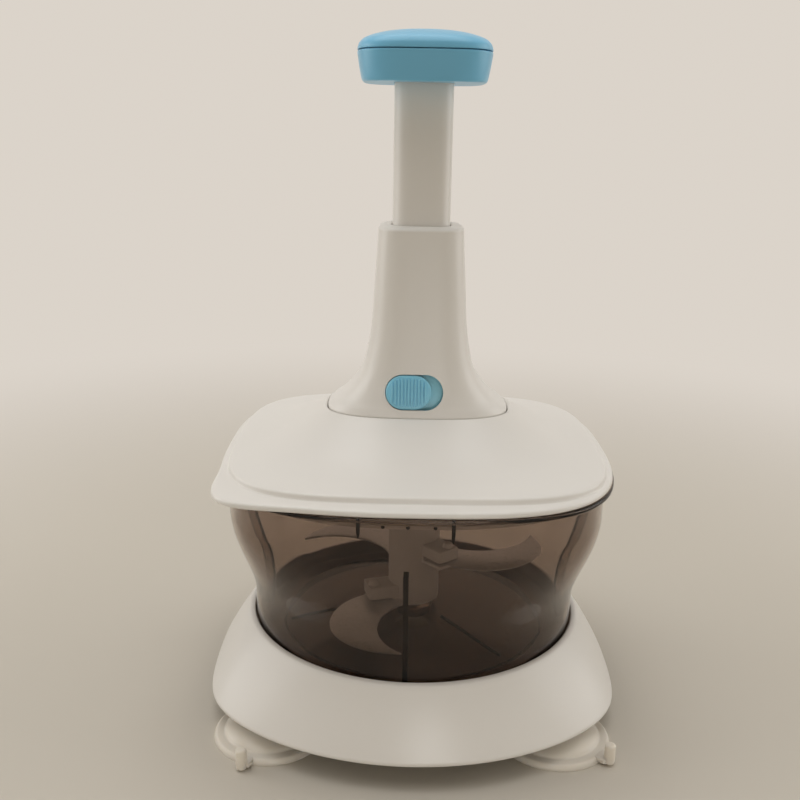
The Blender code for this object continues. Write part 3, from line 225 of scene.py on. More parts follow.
# Plunger and knob
tube_half = 13.7 * MM
tube_power = 3.6
tube_wall = 2.0 * MM
tube_flange = 2.3 * MM
tube_flange_thickness = 3.0 * MM
tube_web = 3.0 * MM
knob_screw_bore = 1.8 * MM
knob_low_half = 28.7 * MM
knob_power = 3.4
knob_top_power = 2.2
knob_wall = 2.2 * MM
knob_crown_half_shares = (1.0, 0.995, 0.975, 0.92, 0.84, 0.72, 0.58, 0.40, 0.20, 0.004)
knob_crown_rise_shares = (0.0, 0.12, 0.3, 0.49, 0.62, 0.75, 0.855, 0.935, 0.985, 1.0)

# Return spring
spring_wire_radius = 0.6 * MM
spring_turns = 11
spring_end_gap = 0.5 * MM
spring_low = low("return_spring").z + spring_wire_radius
spring_high = high("return_spring").z - spring_wire_radius
spring_radius = high("return_spring").x - spring_wire_radius

# Blade unit
hub_radius = 13.2 * MM
hub_length = socket_bottom - 1.2 * MM - hub_bottom
pin_bore = 3.4 * MM
stub_radius = 6.8 * MM
blade_height_shares = (0.0506, 0.34, 0.48)
blade_turns = (197.0 * DEGREE, 88.0 * DEGREE, -51.0 * DEGREE)
blade_thickness = 1.2 * MM
blade_outer_centre = (19.1 * MM, 29.7 * MM)
blade_outer_radius = 31.9 * MM
blade_inner_centre = (-0.9 * MM, 43.3 * MM)
blade_inner_radius = 31.3 * MM
blade_root_radius = 14.6 * MM
block_reach = 26.0 * MM
block_height = 10.2 * MM
block_below_blade = 2.9 * MM
block_low_side = 5.0 * MM
block_high_side = 8.0 * MM
rivet_x = 22.6 * MM
rivet_y = 3.2 * MM
rivet_head_radius = 2.9 * MM
rivet_head_height = 2.4 * MM
rivet_shank_radius = 1.6 * MM

# Suction feet
foot_radius = 27.0 * MM
foot_x = 69.0 * MM
foot_y = 55.5 * MM
# Each foot's place and the way that its release tab points
feet = {
    "front_left": (-foot_x, -foot_y, -108.0 * DEGREE),
    "front_right": (foot_x, -foot_y, -41.0 * DEGREE),
    "rear_left": (-foot_x, foot_y, 139.0 * DEGREE),
    "rear_right": (foot_x, foot_y, 41.0 * DEGREE),
}
foot_neck = stand_edge + gap
foot_neck_radius = 7.6 * MM
foot_stud_radius = 4.0 * MM
foot_stud_length = 10.0 * MM
foot_tab_reach = 31.0 * MM

# Backdrop: the flat floor's reach, the cove's radius, the wall's top, and the distances
# from the middle between which its own glow fades in
floor_reach = 0.9
cove_radius = 0.9
wall_height = 2.4
glow_start = 0.2
glow_full = 0.85

# Camera, fitted to the photograph
camera_place = Vector((-7.55 * MM, -480.65 * MM, 287.24 * MM))
camera_pitch = 15.443 * DEGREE
camera_roll = 0.992 * DEGREE
camera_yaw = -0.137 * DEGREE
camera_focal_pixels = 994.6
picture_pixels = 800.0
sensor_width = 36.0


# Outlines: the radius at each angle round a ring

def angles(count):
    """Evenly spaced angles round a full turn."""
    return np.linspace(0.0, TURN, count, endpoint=False)


def soft_square(half_x, half_y, power, count=LARGE_RING):
    """Radius where |x / half_x| ^ power + |y / half_y| ^ power = 1."""
    turn = angles(count)
    across = np.abs(np.cos(turn)) / half_x
    along = np.abs(np.sin(turn)) / half_y
    return (across ** power + along ** power) ** (-1.0 / power)


def square(half, power):
    """A soft square outline, as deep as it is wide."""
    return soft_square(half, half, power)


def skirt_outline(inset):
    """A wide ellipse cut by two straight sides, with soft corners, moved in by the inset."""
    turn = angles(LARGE_RING)
    cut = np.abs(np.cos(turn)) / skirt_side
    bulge = np.hypot(np.cos(turn) / skirt_bulge_x, np.sin(turn) / skirt_bulge_y)
    return (cut ** skirt_power + bulge ** skirt_power) ** (-1.0 / skirt_power) - inset


def flange_outline(inset):
    """The lid's soft square, its front left corner drawn out into a lifting tab.

    The tab is a bell curve of the angle, added to the plain radius.
    """
    plain = soft_square(flange_half_x - inset, lid_half - inset, lid_power)
    away = (angles(LARGE_RING) - tab_turn + TURN / 2.0) % TURN - TURN / 2.0
    return plain + tab_reach * np.exp(-0.5 * (away / tab_spread) ** 2)


def bowl_outline(height, inset):
    """The bowl's plan at a height above its seat: a circle that eases into a soft square."""
    share = min(1.0, max(0.0, (height - flare_start) / (flare_end - flare_start)))
    ease = share * share * (3.0 - 2.0 * share)
    half = bowl_low_radius + (bowl_top_half - bowl_low_radius) * ease - inset
    return square(half, 2.0 + (bowl_top_power - 2.0) * ease)


def at_turn(outline, turn):
    """The radius of an outline at one angle."""
    return outline[int(round((turn % TURN) / TURN * LARGE_RING)) % LARGE_RING]


def stadium(half_length, half_width, count):
    """Points of a slot outline with round ends: a circle drawn apart along X."""
    turn = angles(count) + TURN / count / 2.0
    reach = half_length - half_width
    x = half_width * np.cos(turn) + np.sign(np.cos(turn)) * reach
    return np.stack([x, half_width * np.sin(turn)], axis=-1)


# Surfaces

def ring(radius, height, count=LARGE_RING):
    """One ring of a surface: a radius and a height, each one number or one for each angle."""
    return np.stack([np.broadcast_to(value, (count,)) for value in (radius, height)])


def rounded_run(rings, rounds, closed):
    """Round a run of rings off at its corners.

    Near a corner the run leaves the straight stretch on each side, its rounding away and
    at most half the stretch, and follows a parabola between those two rings.
    """
    pieces = []
    for index, here in enumerate(rings):
        at_end = not closed and index in (0, len(rings) - 1)
        if at_end or rounds[index] <= 0.0:
            pieces.append(here[None])
            continue
        cuts = []
        for other in (rings[index - 1], rings[(index + 1) % len(rings)]):
            reach = np.sqrt(((other - here) ** 2).sum(axis=0)).mean()
            cuts.append(here + (other - here) * min(0.495, rounds[index] / max(reach, 1e-9)))
        share = np.linspace(0.0, 1.0, CORNER_STEPS + 1)[:, None, None]
        pieces.append((1.0 - share) ** 2 * cuts[0] + 2.0 * share * (1.0 - share) * here
                      + share ** 2 * cuts[1])
    return np.concatenate(pieces)


def smooth_rings(rings, count):
    """A smooth run through a few rings: a Catmull-Rom curve through each angle's points."""
    rings = np.stack(rings)
    padded = np.concatenate([2.0 * rings[:1] - rings[1:2], rings, 2.0 * rings[-1:] - rings[-2:-1]])
    place = np.linspace(0.0, len(rings) - 1.0, count)
    index = np.minimum(place.astype(int), len(rings) - 2)
    share = (place - index)[:, None, None]
    before, start, end, after = (padded[index + step] for step in range(4))
    return 0.5 * (2.0 * start + (end - before) * share
                  + (2.0 * before - 5.0 * start + 4.0 * end - after) * share ** 2
                  + (3.0 * start - before - 3.0 * end + after) * share ** 3)


def unrounded(rings):
    """Rows of a lathe for rings that are smooth already."""
    return [(*here, 0.0) for here in rings]


def grid_faces(rows, columns, wrap_rows):
    """Quads of a grid whose columns close on themselves, and whose rows may."""
    row = np.arange(rows if wrap_rows else rows - 1)[:, None]
    column = np.arange(columns)[None, :]
    ahead = (row + 1) % rows
    beside = (column + 1) % columns
    corners = (row * columns + column, row * columns + beside, ahead * columns + beside,
               ahead * columns + column)
    return np.stack(corners, axis=-1).reshape(-1, 4)


def lathe(rows, closed, count=LARGE_RING, place=(0.0, 0.0)):
    """A surface through rows of radius, height and corner rounding in millimetres.

    At every angle x = radius cos + place, y = radius sin + place and z = height. A run that
    isn't closed on itself has a fan of triangles at each end.
    """
    rings = [ring(radius, height, count) for radius, height, _ in rows]
    run = rounded_run(rings, [size * MM for *_, size in rows], closed)
    turn = angles(count)
    grid = np.stack([run[:, 0] * np.cos(turn) + place[0],
                     run[:, 0] * np.sin(turn) + place[1], run[:, 1]], axis=-1)
    if closed:
        return outward(grid.reshape(-1, 3), [grid_faces(len(grid), count, True)])
    return fanned(grid)


def fanned(grid):
    """Points and faces of a run of loops, with a fan of triangles over each end."""
    rows, columns = grid.shape[:2]
    points = grid.reshape(-1, 3)
    centres = np.stack([grid[0].mean(axis=0), grid[-1].mean(axis=0)])
    first = np.arange(columns)
    beside = (first + 1) % columns
    start = np.stack([beside, first, np.full(columns, len(points))], axis=-1)
    end = np.stack([first, beside, np.full(columns, len(points) + 1)], axis=-1)
    end[:, :2] += (rows - 1) * columns
    return outward(np.concatenate([points, centres]),
                   [grid_faces(rows, columns, False), start, end])


def capped(grid):
    """Points and faces of a run of loops, with one flat face over each end."""
    rows, columns = grid.shape[:2]
    loop = np.arange(columns)[None]
    return outward(grid.reshape(-1, 3), [grid_faces(rows, columns, False), loop[:, ::-1],
                                         loop + (rows - 1) * columns])


def outward(points, groups):
    """Turn every face round if the volume that they enclose comes out negative."""
    volume = 0.0
    for faces in groups:
        corner = points[faces]
        for step in range(1, faces.shape[1] - 1):
            cross = np.cross(corner[:, step], corner[:, step + 1])
            volume += (corner[:, 0] * cross).sum()
    if volume < 0.0:
        groups = [faces[:, ::-1] for faces in groups]
    return points, groups


def slab_mesh(outline, bottom, top, edge_round, steps=4):
    """A flat slab on a convex outline, its two edges rounded.

    Each ring is the outline moved in along its normals by the rounding's own profile.
    """
    ahead = np.roll(outline, -1, axis=0) - np.roll(outline, 1, axis=0)
    normal = np.stack([ahead[:, 1], -ahead[:, 0]], axis=-1)
    normal /= np.linalg.norm(normal, axis=1)[:, None]
    quarter = np.linspace(0.0, TURN / 4.0, steps + 1)
    inset = edge_round * (1.0 - np.sin(quarter))
    rise = edge_round * (1.0 - np.cos(quarter))
    insets = np.concatenate([inset, inset[::-1]])
    levels = np.concatenate([bottom + rise, top - rise[::-1]])
    flat = outline[None] - normal[None] * insets[:, None, None]
    height = np.broadcast_to(levels[:, None, None], flat.shape[:2] + (1,))
    return fanned(np.concatenate([flat, height], axis=-1))


def placed(mesh, matrix):
    """The same faces, with every point moved by a matrix."""
    points, groups = mesh
    matrix = np.array(matrix)
    return points @ matrix[:3, :3].T + matrix[:3, 3], groups


def merged(meshes):
    """Several closed shells in one mesh."""
    points = []
    groups = []
    start = 0
    for shell_points, shell_groups in meshes:
        points.append(shell_points)
        groups += [faces + start for faces in shell_groups]
        start += len(shell_points)
    return np.concatenate(points), groups


def block_outline(low_x, high_x, low_y, high_y, corner, count=8):
    """A rectangle with round corners, as points running counter-clockwise."""
    quarter = np.linspace(0.0, TURN / 4.0, count)
    parts = []
    for x, y, start in ((high_x - corner, high_y - corner, 0.0),
                        (low_x + corner, high_y - corner, TURN / 4.0),
                        (low_x + corner, low_y + corner, TURN / 2.0),
                        (high_x - corner, low_y + corner, 3.0 * TURN / 4.0)):
        parts.append(np.stack([x + corner * np.cos(quarter + start),
                               y + corner * np.sin(quarter + start)], axis=-1))
    return np.concatenate(parts)


def mesh_object(name, mesh):
    """A new object of points and faces, linked to the scene."""
    points, groups = mesh
    data = bpy.data.meshes.new(name)
    data.from_pydata(points, [], [face for faces in groups for face in faces.tolist()])
    item = bpy.data.objects.new(name, data)
    bpy.context.scene.collection.objects.link(item)
    return item


def piece(name, mesh, finish_name, body, *nodes, sharp=crease_angle):
    """Make an object of points and faces, finish it and tie it to the frame."""
    item = mesh_object(name, mesh)
    item.data.shade_smooth()
    item.data.set_sharp_from_angle(angle=sharp)
    item.data.materials.append(finish(finish_name))
    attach(item, body)
    if nodes:
        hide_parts(*nodes)
    return item


def combine(item, mesh, operation):
    """Cut closed shells out of a finished piece, or join them on, for good."""
    tool = mesh_object("tool", mesh)
    modifier = item.modifiers.new("Combine", "BOOLEAN")
    modifier.operation = operation
    modifier.solver = "EXACT"
    modifier.object = tool
    bpy.context.view_layer.update()
    graph = bpy.context.evaluated_depsgraph_get()
    result = bpy.data.meshes.new_from_object(item.evaluated_get(graph))
    item.modifiers.clear()
    item.data = result
    bpy.data.objects.remove(tool, do_unlink=True)
    result.shade_smooth()
    result.set_sharp_from_angle(angle=crease_angle)


# Materials

def add_node(tree, kind, inputs, **settings):
    """A new node with its settings, each input a number, a colour or a link."""
    item = tree.nodes.new("ShaderNode" + kind)
    for name, value in settings.items():
        setattr(item, name, value)
    for name, value in inputs.items():
        if isinstance(value, bpy.types.NodeSocket):
            tree.links.new(value, item.inputs[name])
        else:
            item.inputs[name].default_value = value
    return item


def principled(name, values):
    """The tree and the Principled shader of a new material, with the shader's values."""
    material = bpy.data.materials.new(name)
    material.use_nodes = True
    shader = material.node_tree.nodes["Principled BSDF"]
    for socket, value in values.items():
        shader.inputs[socket].default_value = value
    return material.node_tree, shader


def noise(tree, scale, detail, roughness=0.5, stretch=(1.0, 1.0, 1.0)):
    """A noise on object coordinates, stretched along the axes."""
    place = add_node(tree, "TexCoord", {})
    mapping = add_node(tree, "Mapping", {"Vector": place.outputs["Object"], "Scale": stretch})
    texture = add_node(tree, "TexNoise", {"Vector": mapping.outputs["Vector"], "Scale": scale,
                                          "Detail": detail, "Roughness": roughness})
    return texture.outputs["Fac"]


def remap(tree, value, low_value, high_value):
    """Stretch the middle of a noise over a range of values."""
    node = add_node(tree, "MapRange", {"Value": value, "From Min": 0.3, "From Max": 0.7,
                                       "To Min": low_value, "To Max": high_value})
    return node.outputs["Result"]


def tinted(tree, value, first, second):
    """Blend two colours by a value."""
    mix = add_node(tree, "Mix", {"Factor": value, "A": (*first, 1.0), "B": (*second, 1.0)},
                   data_type="RGBA")
    return mix.outputs["Result"]


def bumped(tree, shader, value, strength, distance):
    """Let a value raise the surface a little."""
    bump = add_node(tree, "Bump", {"Height": value, "Strength": strength, "Distance": distance})
    tree.links.new(bump.outputs["Normal"], shader.inputs["Normal"])


def varied(tree, shader, cloud, tones, gloss, roughness):
    """Blend the base colour between two tones by one noise, and the roughness by another."""
    tree.links.new(tinted(tree, remap(tree, cloud, 0.0, 1.0), *tones),
                   shader.inputs["Base Color"])
    tree.links.new(remap(tree, gloss, *roughness), shader.inputs["Roughness"])


def moulded_plastic(name, colour, roughness, mottle=0.01):
    """Injection-moulded plastic: faint flow mottling, a fine skin and uneven gloss."""
    tree, shader = principled(name, {"Roughness": roughness})
    tones = (tuple(channel * (1.0 - mottle) for channel in colour),
             tuple(min(1.0, channel * (1.0 + mottle)) for channel in colour))
    varied(tree, shader, noise(tree, 9.0, 2.0), tones, noise(tree, 240.0, 3.0),
           (roughness * 0.93, roughness * 1.08))
    bumped(tree, shader, noise(tree, 1600.0, 2.0), 0.06, 0.02 * MM)


def smoked_plastic(name, colour, roughness):
    """Clear plastic with a smoke dye: the longer light's way through it, the darker."""
    tree, shader = principled(name, {"Roughness": roughness, "Transmission Weight": 1.0,
                                     "IOR": smoke_ior, "Specular IOR Level": 0.15})
    varied(tree, shader, noise(tree, 9.0, 2.0), smoke_tones, noise(tree, 45.0, 3.0),
           (roughness * 0.7, roughness * 1.3))
    dye = add_node(tree, "VolumeAbsorption", {"Color": (*colour, 1.0), "Density": smoke_density})
    tree.links.new(dye.outputs["Volume"], tree.nodes["Material Output"].inputs["Volume"])


def milky_plastic(name, colour, roughness):
    """Soft translucent plastic of the feet and the seal."""
    tree, shader = principled(name, {
        "Roughness": roughness, "Transmission Weight": 0.08, "IOR": 1.4,
        "Subsurface Weight": 0.25, "Subsurface Radius": (0.006, 0.005, 0.004),
        "Subsurface Scale": 1.0})
    dim = tuple(channel * 0.95 for channel in colour)
    varied(tree, shader, noise(tree, 22.0, 3.0), (dim, colour), noise(tree, 70.0, 3.0),
           (0.28, 0.42))
    bumped(tree, shader, noise(tree, 700.0, 2.0), 0.08, 0.03 * MM)


def brushed_metal(name, colour, roughness, stretch):
    """Stainless steel with fine grinding lines across the stretch's short axis."""
    tree, shader = principled(name, {"Roughness": roughness, "Metallic": 1.0})
    lines = noise(tree, 420.0, 6.0, 0.65, stretch)
    dim = tuple(channel * 0.9 for channel in colour)
    varied(tree, shader, lines, (dim, colour), lines, (roughness * 0.8, roughness * 1.35))
    bumped(tree, shader, lines, 0.12, 0.02 * MM)


FINISHES = {
    # Each finish has the record's slot, its colour's name, its maker and the maker's values
    "White Housing Plastic": ("white_plastic", "white", moulded_plastic, 0.3),
    "Sky Blue Plastic": ("blue_plastic", "blue", moulded_plastic, 0.3, 0.03),
    "Pale Blue Plastic": ("blue_plastic", "pale_blue", moulded_plastic, 0.3),
    # Painted light: the plate's blue is paler than its plastic, to offset the shade of its slot
    "Light Blue Plate": ("blue_plastic", "plate_blue", moulded_plastic, 0.3),
    "Smoked Bowl Plastic": ("smoked_plastic", "smoke", smoked_plastic, 0.025),
    # Deep smoke also colours the painted shade marks below the bowl's rim
    "Deep Smoke Plastic": ("smoked_plastic", "deep_smoke", moulded_plastic, 0.16),
    "Milky Soft Plastic": ("milky_rubber", "milky", milky_plastic, 0.34),
    "Light Grey Hub Plastic": ("grey_plastic", "grey", moulded_plastic, 0.42),
    "Ground Blade Steel": ("steel", "steel", brushed_metal, 0.3, (1.0, 6.0, 1.0)),
    "Bright Turned Steel": ("steel", "steel", brushed_metal, 0.24, (1.0, 1.0, 7.0)),
}


def finish(name):
    """The material of that name, made when it is first asked for."""
    if name not in bpy.data.materials:
        _, colour, maker, *values = FINISHES[name]
        maker(name, tuple(getattr(bpy.context.scene.chopper_colours, colour)), *values)
    return bpy.data.materials[name]


def dress(finish_name, *nodes):
    """Give CAD nodes that stay on show their finish."""
    for node in nodes:
        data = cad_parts[node].data
        data.materials.clear()
        data.materials.append(finish(finish_name))


# Shapes of the pieces

def stand_mesh():
    """Platform, recess wall, collar lip and flared skirt, then back up its hollow inside."""
    lip = recess_radius + collar_lip
    edge = stand_edge + 1.6 * MM
    floor = stand_top - platform_drop
    inner = recess_radius + skirt_wall
    fall = stand_top - edge
    skirt = skirt_outline(0.0)
    hollow = skirt_outline(skirt_wall)
    shell = lathe([
        (drain_radius, floor, 0.6),
        (recess_radius, floor, 1.4),
        (recess_radius, stand_top, 0.9),
        (recess_radius + 0.62 * collar_lip, stand_top, 1.2),
        (lip, stand_top - 1.3 * MM, 1.8),
        (lip * 0.65 + skirt * 0.35, stand_top - 0.33 * fall, 9.0),
        (lip * 0.25 + skirt * 0.75, stand_top - 0.72 * fall, 9.0),
        (skirt, edge, 1.2),
        (skirt_outline(0.7 * MM), stand_edge, 0.8),
        (hollow, stand_edge, 0.4),
        (hollow, edge + 1.6 * MM, 2.0),
        (inner * 0.55 + hollow * 0.45, stand_top - 0.46 * fall - skirt_wall, 8.0),
        (inner, stand_top - 2.0 * skirt_wall, 1.0),
        (inner, floor - skirt_wall, 1.0),
        (drain_radius, floor - skirt_wall, 0.6),
    ], True)
    bosses = [boss_mesh((x, y), floor - 0.6 * skirt_wall) for x, y, _ in feet.values()]
    return merged([shell, *bosses])


def boss_mesh(place, top):
    """A round boss under the platform, bored for a foot's stud."""
    bottom = foot_neck + 0.9 * MM
    bore = foot_stud_radius + gap
    return lathe([(foot_boss_radius, top, 0.0), (foot_boss_radius, bottom, 0.5),
                  (bore, bottom, 0.3), (bore, top, 0.0)], True, SMALL_RING, place)


def foot_mesh(name):
    """A suction foot: thin rim, raised bead, dome, neck and stud, with its release tab."""
    bead = foot_radius - 4.4 * MM
    dome = 9.8 * MM
    stud_top = foot_neck + foot_stud_length
    cup = lathe([
        (pole, stud_top, 0.0),
        (foot_stud_radius, stud_top, 1.0),
        (foot_stud_radius, foot_neck, 0.3),
        (foot_neck_radius, foot_neck, 0.8),
        (foot_neck_radius, dome, 1.0),
        (bead * 0.62, dome * 0.88, 3.0),
        (bead - 1.6 * MM, 5.2 * MM, 2.0),
        (bead - 0.6 * MM, 3.3 * MM, 0.7),
        (foot_radius - 0.9 * MM, 3.2 * MM, 0.9),
        (foot_radius, 1.4 * MM, 0.8),
        (foot_radius, 0.0, 0.25),
        (foot_radius - 1.6 * MM, 0.0, 0.3),
        (bead * 0.86, 2.6 * MM, 2.0),
        (bead * 0.5, 5.6 * MM, 4.0),
        (pole, 6.4 * MM, 0.0),
    ], False, MIDDLE_RING)
    arm = slab_mesh(block_outline(foot_radius - 2.0 * MM, foot_tab_reach, -3.6 * MM, 3.6 * MM,
                                  1.2 * MM), 1.3 * MM, 3.6 * MM, 0.6 * MM)
    bar = lathe([(pole, 0.9 * MM, 0.0), (2.6 * MM, 0.9 * MM, 1.1), (2.6 * MM, 10.9 * MM, 1.6),
                 (pole, 10.9 * MM, 0.0)], False, SMALL_RING, (foot_tab_reach, 0.0))
    x, y, turn = feet[name]
    matrix = Matrix.Translation((x, y, 0.0)) @ Matrix.Rotation(turn, 4, "Z")
    return placed(merged([cup, arm, bar]), matrix)


def floor_height(radius):
    """Height of the bowl's inner floor above its seat, crowned towards the middle."""
    share = min(1.0, radius / foot_ring_radius)
    return floor_rise + bowl_wall + floor_crown * (1.0 - share * share)


def bowl_mesh():
    """The bowl's shell: foot ring, flared wall, rim and back down inside to the pin's boss."""
    turn_up = bowl_low_radius - foot_ring_radius
    foot_in = foot_ring_radius - foot_ring_width
    inner = bowl_low_radius - bowl_wall
    top = bowl_top - bowl_seat
    socket = boss_height - boss_socket_depth
    levels = np.linspace(flare_start, flare_end, 26)
    rim = soft_square(rim_half_x, rim_half, rim_power)
    rows = [(boss_radius, socket - bowl_wall, 0.6)]
    rows += [(radius, floor_height(radius) - bowl_wall, size)
             for radius, size in ((boss_radius, 0.8), (foot_in * 0.5, 6.0), (foot_in, 1.0))]
    rows += [
        (foot_in, 0.0, 0.5),
        (foot_ring_radius, 0.0, 1.6),
        (foot_ring_radius + turn_up * 0.78, turn_up * 0.34, 4.0),
        (bowl_low_radius, turn_up, 4.0),
    ]
    rows += [(bowl_outline(level, 0.0), level, 0.0) for level in levels]
    rows += [
        (bowl_outline(top, 0.0), top - rim_thickness, 0.8),
        (rim, top - rim_thickness, 0.5),
        (rim, top, 0.9),
        (bowl_outline(top, bowl_wall), top, 0.8),
    ]
    rows += [(bowl_outline(level, bowl_wall), level, 0.0) for level in levels[::-1]]
    rows += [
        (inner, turn_up + 1.0 * MM, 3.0),
        (inner - turn_up * 0.3, floor_height(foot_ring_radius) + 1.0 * MM, 2.5),
        (foot_ring_radius, floor_height(foot_ring_radius), 4.0),
        (foot_ring_radius * 0.6, floor_height(foot_ring_radius * 0.6), 8.0),
        (boss_radius + bowl_wall, floor_height(boss_radius), 2.0),
        (boss_radius, boss_height, 0.8),
        (boss_bore, boss_height, 0.3),
        (boss_bore, socket, 0.0),
    ]
    return placed(lathe(rows, False), Matrix.Translation((0.0, 0.0, bowl_seat)))


def fin_mesh(turn, near, far):
    """An upright bar along the wall's inside, from one distance off the wall to another.

    Its cross-section is a rectangle at every level, and its top falls away inwards.
    """
    bottom = floor_height(foot_ring_radius) + 1.5 * MM
    levels = np.linspace(bottom, fin_top, 20)
    wall = np.array([at_turn(bowl_outline(level, bowl_wall), turn) for level in levels])
    crown = 2.4 * MM * np.clip((levels - levels[-3]) / (levels[-1] - levels[-3]), 0.0, 1.0) ** 2
    half = fin_thickness / 2.0
    corners = [np.stack([wall - depth, levels - drop, np.full(len(levels), side)], axis=-1)
               for depth, drop, side in ((near, 0.0, -half), (near, 0.0, half),
                                         (far, crown, half), (far, crown, -half))]
    return placed(capped(np.stack(corners, axis=1)), stood_up(turn))


def floor_rib_mesh(turn):
    """A low rib on the crowned floor, from the boss out to the wall's foot."""
    radius = np.linspace(floor_rib_start, floor_rib_end, 10)
    base = np.array([floor_height(value) for value in radius])
    outline = np.concatenate([np.stack([radius, base - bowl_wall / 2.0], axis=-1),
                              np.stack([radius, base + 0.8 * MM], axis=-1)[::-1]])
    return placed(slab_mesh(outline, -0.4 * MM, 0.4 * MM, 0.15 * MM), stood_up(turn))


def shade_mark_mesh(x, drop, length):
    """A dark upright mark of painted shade in the middle of the front wall, tapering at its foot.
    """
    top = bowl_top - drop
    half = 0.8 * MM
    reach = at_turn(bowl_outline(top - bowl_seat, bowl_wall / 2.0),
                    math.atan2(-bowl_top_half, x))
    return lathe([(pole, top, 0.0), (half, top, 0.2), (half, top - length * 0.7, 0.5),
                  (0.35 * MM, top - length, 0.2), (pole, top - length, 0.0)],
                 False, SMALL_RING, (x, -math.sqrt(reach * reach - x * x)))


def stood_up(turn):
    """A matrix that stands a slab on edge along a radius of the bowl, its Y upwards."""
    return (Matrix.Translation((0.0, 0.0, bowl_seat)) @ Matrix.Rotation(turn, 4, "Z")
            @ Matrix.Rotation(TURN / 4.0, 4, "X"))


def dome_rings(inset):
    """Key rings of the lid's dome from the panel's edge up to the seam."""
    edge_x = panel_half_x - panel_draft
    edge_y = panel_half_y - panel_draft
    edge = lid_seat + flange_thickness + panel_step
    keys = [ring(soft_square(edge_x - inset, edge_y - inset, panel_power), edge - inset * 0.9)]
    for half_share, rise_share in zip(dome_half_shares, dome_rise_shares):
        half_x = seam_half_x + (edge_x - seam_half_x) * half_share - inset * 0.3
        half_y = seam_half_y + (edge_y - seam_half_y) * half_share - inset * 0.3
        keys.append(ring(soft_square(half_x, half_y, lid_power + (panel_power - lid_power)
                                     * half_share),
                         edge + (seam_top - edge) * rise_share - inset))
    return keys


def lid_cover_mesh():
    """Flange with its lifting corner, step, panel edge, bell-shaped dome and tower seat."""
    flange_top = lid_seat + flange_thickness
    ledge = seam_top - ledge_drop

    def seat(grow):
        return soft_square(seam_half_x + grow, seam_half_y + grow, seam_power)

    foot = soft_square(panel_half_x, panel_half_y, panel_power)
    wall = soft_square(panel_half_x - lid_wall, panel_half_y - lid_wall, panel_power)
    dome = smooth_rings(dome_rings(0.0) + [ring(seat(1.1 * MM), seam_top - 0.25 * MM)], 34)
    inside = smooth_rings(dome_rings(lid_wall) + [ring(seat(lid_wall), ledge - lid_wall)], 14)
    return lathe([
        (flange_outline(0.3 * MM), lid_seat, 0.3),
        (flange_outline(0.0), lid_seat + 0.5 * MM, 0.4),
        (flange_outline(0.2 * MM), flange_top - 0.7 * MM, 0.8),
        (flange_outline(1.4 * MM), flange_top, 1.2),
        (foot + 0.3 * MM, flange_top, 0.5),
        (foot - 0.1 * MM, flange_top + 0.7 * MM, 0.5),
        (foot - 0.4 * MM, flange_top + panel_step - 0.5 * MM, 1.1),
        (*dome[0], 0.8),
        *unrounded(dome[1:-1]),
        (*dome[-1], 0.7),
        (seat(seam_gap), seam_top - 0.9 * MM, 0.4),
        (seat(seam_gap), ledge, 0.4),
        (seat(-ledge_width), ledge, 0.4),
        (seat(-ledge_width), ledge - lid_wall, 0.4),
        *unrounded(inside[::-1]),
        (wall, lid_seat + 0.5 * flange_thickness, 0.5),
        (wall, lid_seat, 0.5),
    ], True)


def liner_mesh():
    """The inner cover: a plate with the plug skirt that fills the bowl's mouth."""
    plate_top = lid_seat - liner_plate_drop
    plate_bottom = plate_top - liner_plate
    skirt_top = lid_seat - gap
    skirt_in = liner_half - liner_skirt_wall
    lip_top = liner_bottom + liner_lip_height
    panel = plate_bottom + 0.8 * MM
    hole = hub_radius + 0.4 * MM
    rows = ((skirt_in, plate_top, 0.6), (skirt_in, skirt_top, 0.3), (liner_half, skirt_top, 0.3),
            (liner_half, lip_top, 0.3), (liner_half + liner_lip, lip_top, 0.3),
            (liner_half + liner_lip, liner_bottom, 0.4), (skirt_in, liner_bottom, 0.4),
            (skirt_in, plate_bottom, 1.2), (skirt_in * 0.62, plate_bottom, 0.5),
            (skirt_in * 0.60, panel, 0.5), (skirt_in * 0.30, panel, 0.5),
            (skirt_in * 0.28, plate_bottom, 0.5))
    squares = [(square(half, bowl_top_power), height, size) for half, height, size in rows]
    return lathe([(hole, plate_top, 0.3), *squares, (hole, plate_bottom, 0.3)], True)


def seal_mesh():
    """The soft seal on the liner's lip, with three thin lips of its own."""
    bottom = liner_bottom + liner_lip_height + gap
    inner = liner_half + gap
    outer = bowl_top_half - bowl_wall - gap
    waist = outer - 1.2 * MM
    halves = (waist, outer, waist, outer, waist, outer, waist, waist)
    shares = (0.0, 0.14, 0.28, 0.42, 0.56, 0.7, 0.84, 1.0)
    return lathe([(square(half, bowl_top_power), bottom + seal_height * share, 0.15)
                  for half, share in ((inner, 0.0), *zip(halves, shares), (inner, 1.0))], True)


def tower_keys(inset):
    """Key rings of the tower from its foot at the seam up to below its top edge."""
    keys = [ring(soft_square(seam_half_x - inset, seam_half_y - inset, seam_power), seam_top)]
    height = tower_top - seam_top
    rows = zip(tower_height_shares, tower_x_shares, tower_y_shares, tower_power_shares)
    for height_share, share_x, share_y, power_share in rows:
        keys.append(ring(soft_square(tower_half * share_x - inset, tower_half * share_y - inset,
                                     tower_power * power_share),
                         seam_top + height * height_share))
    return keys


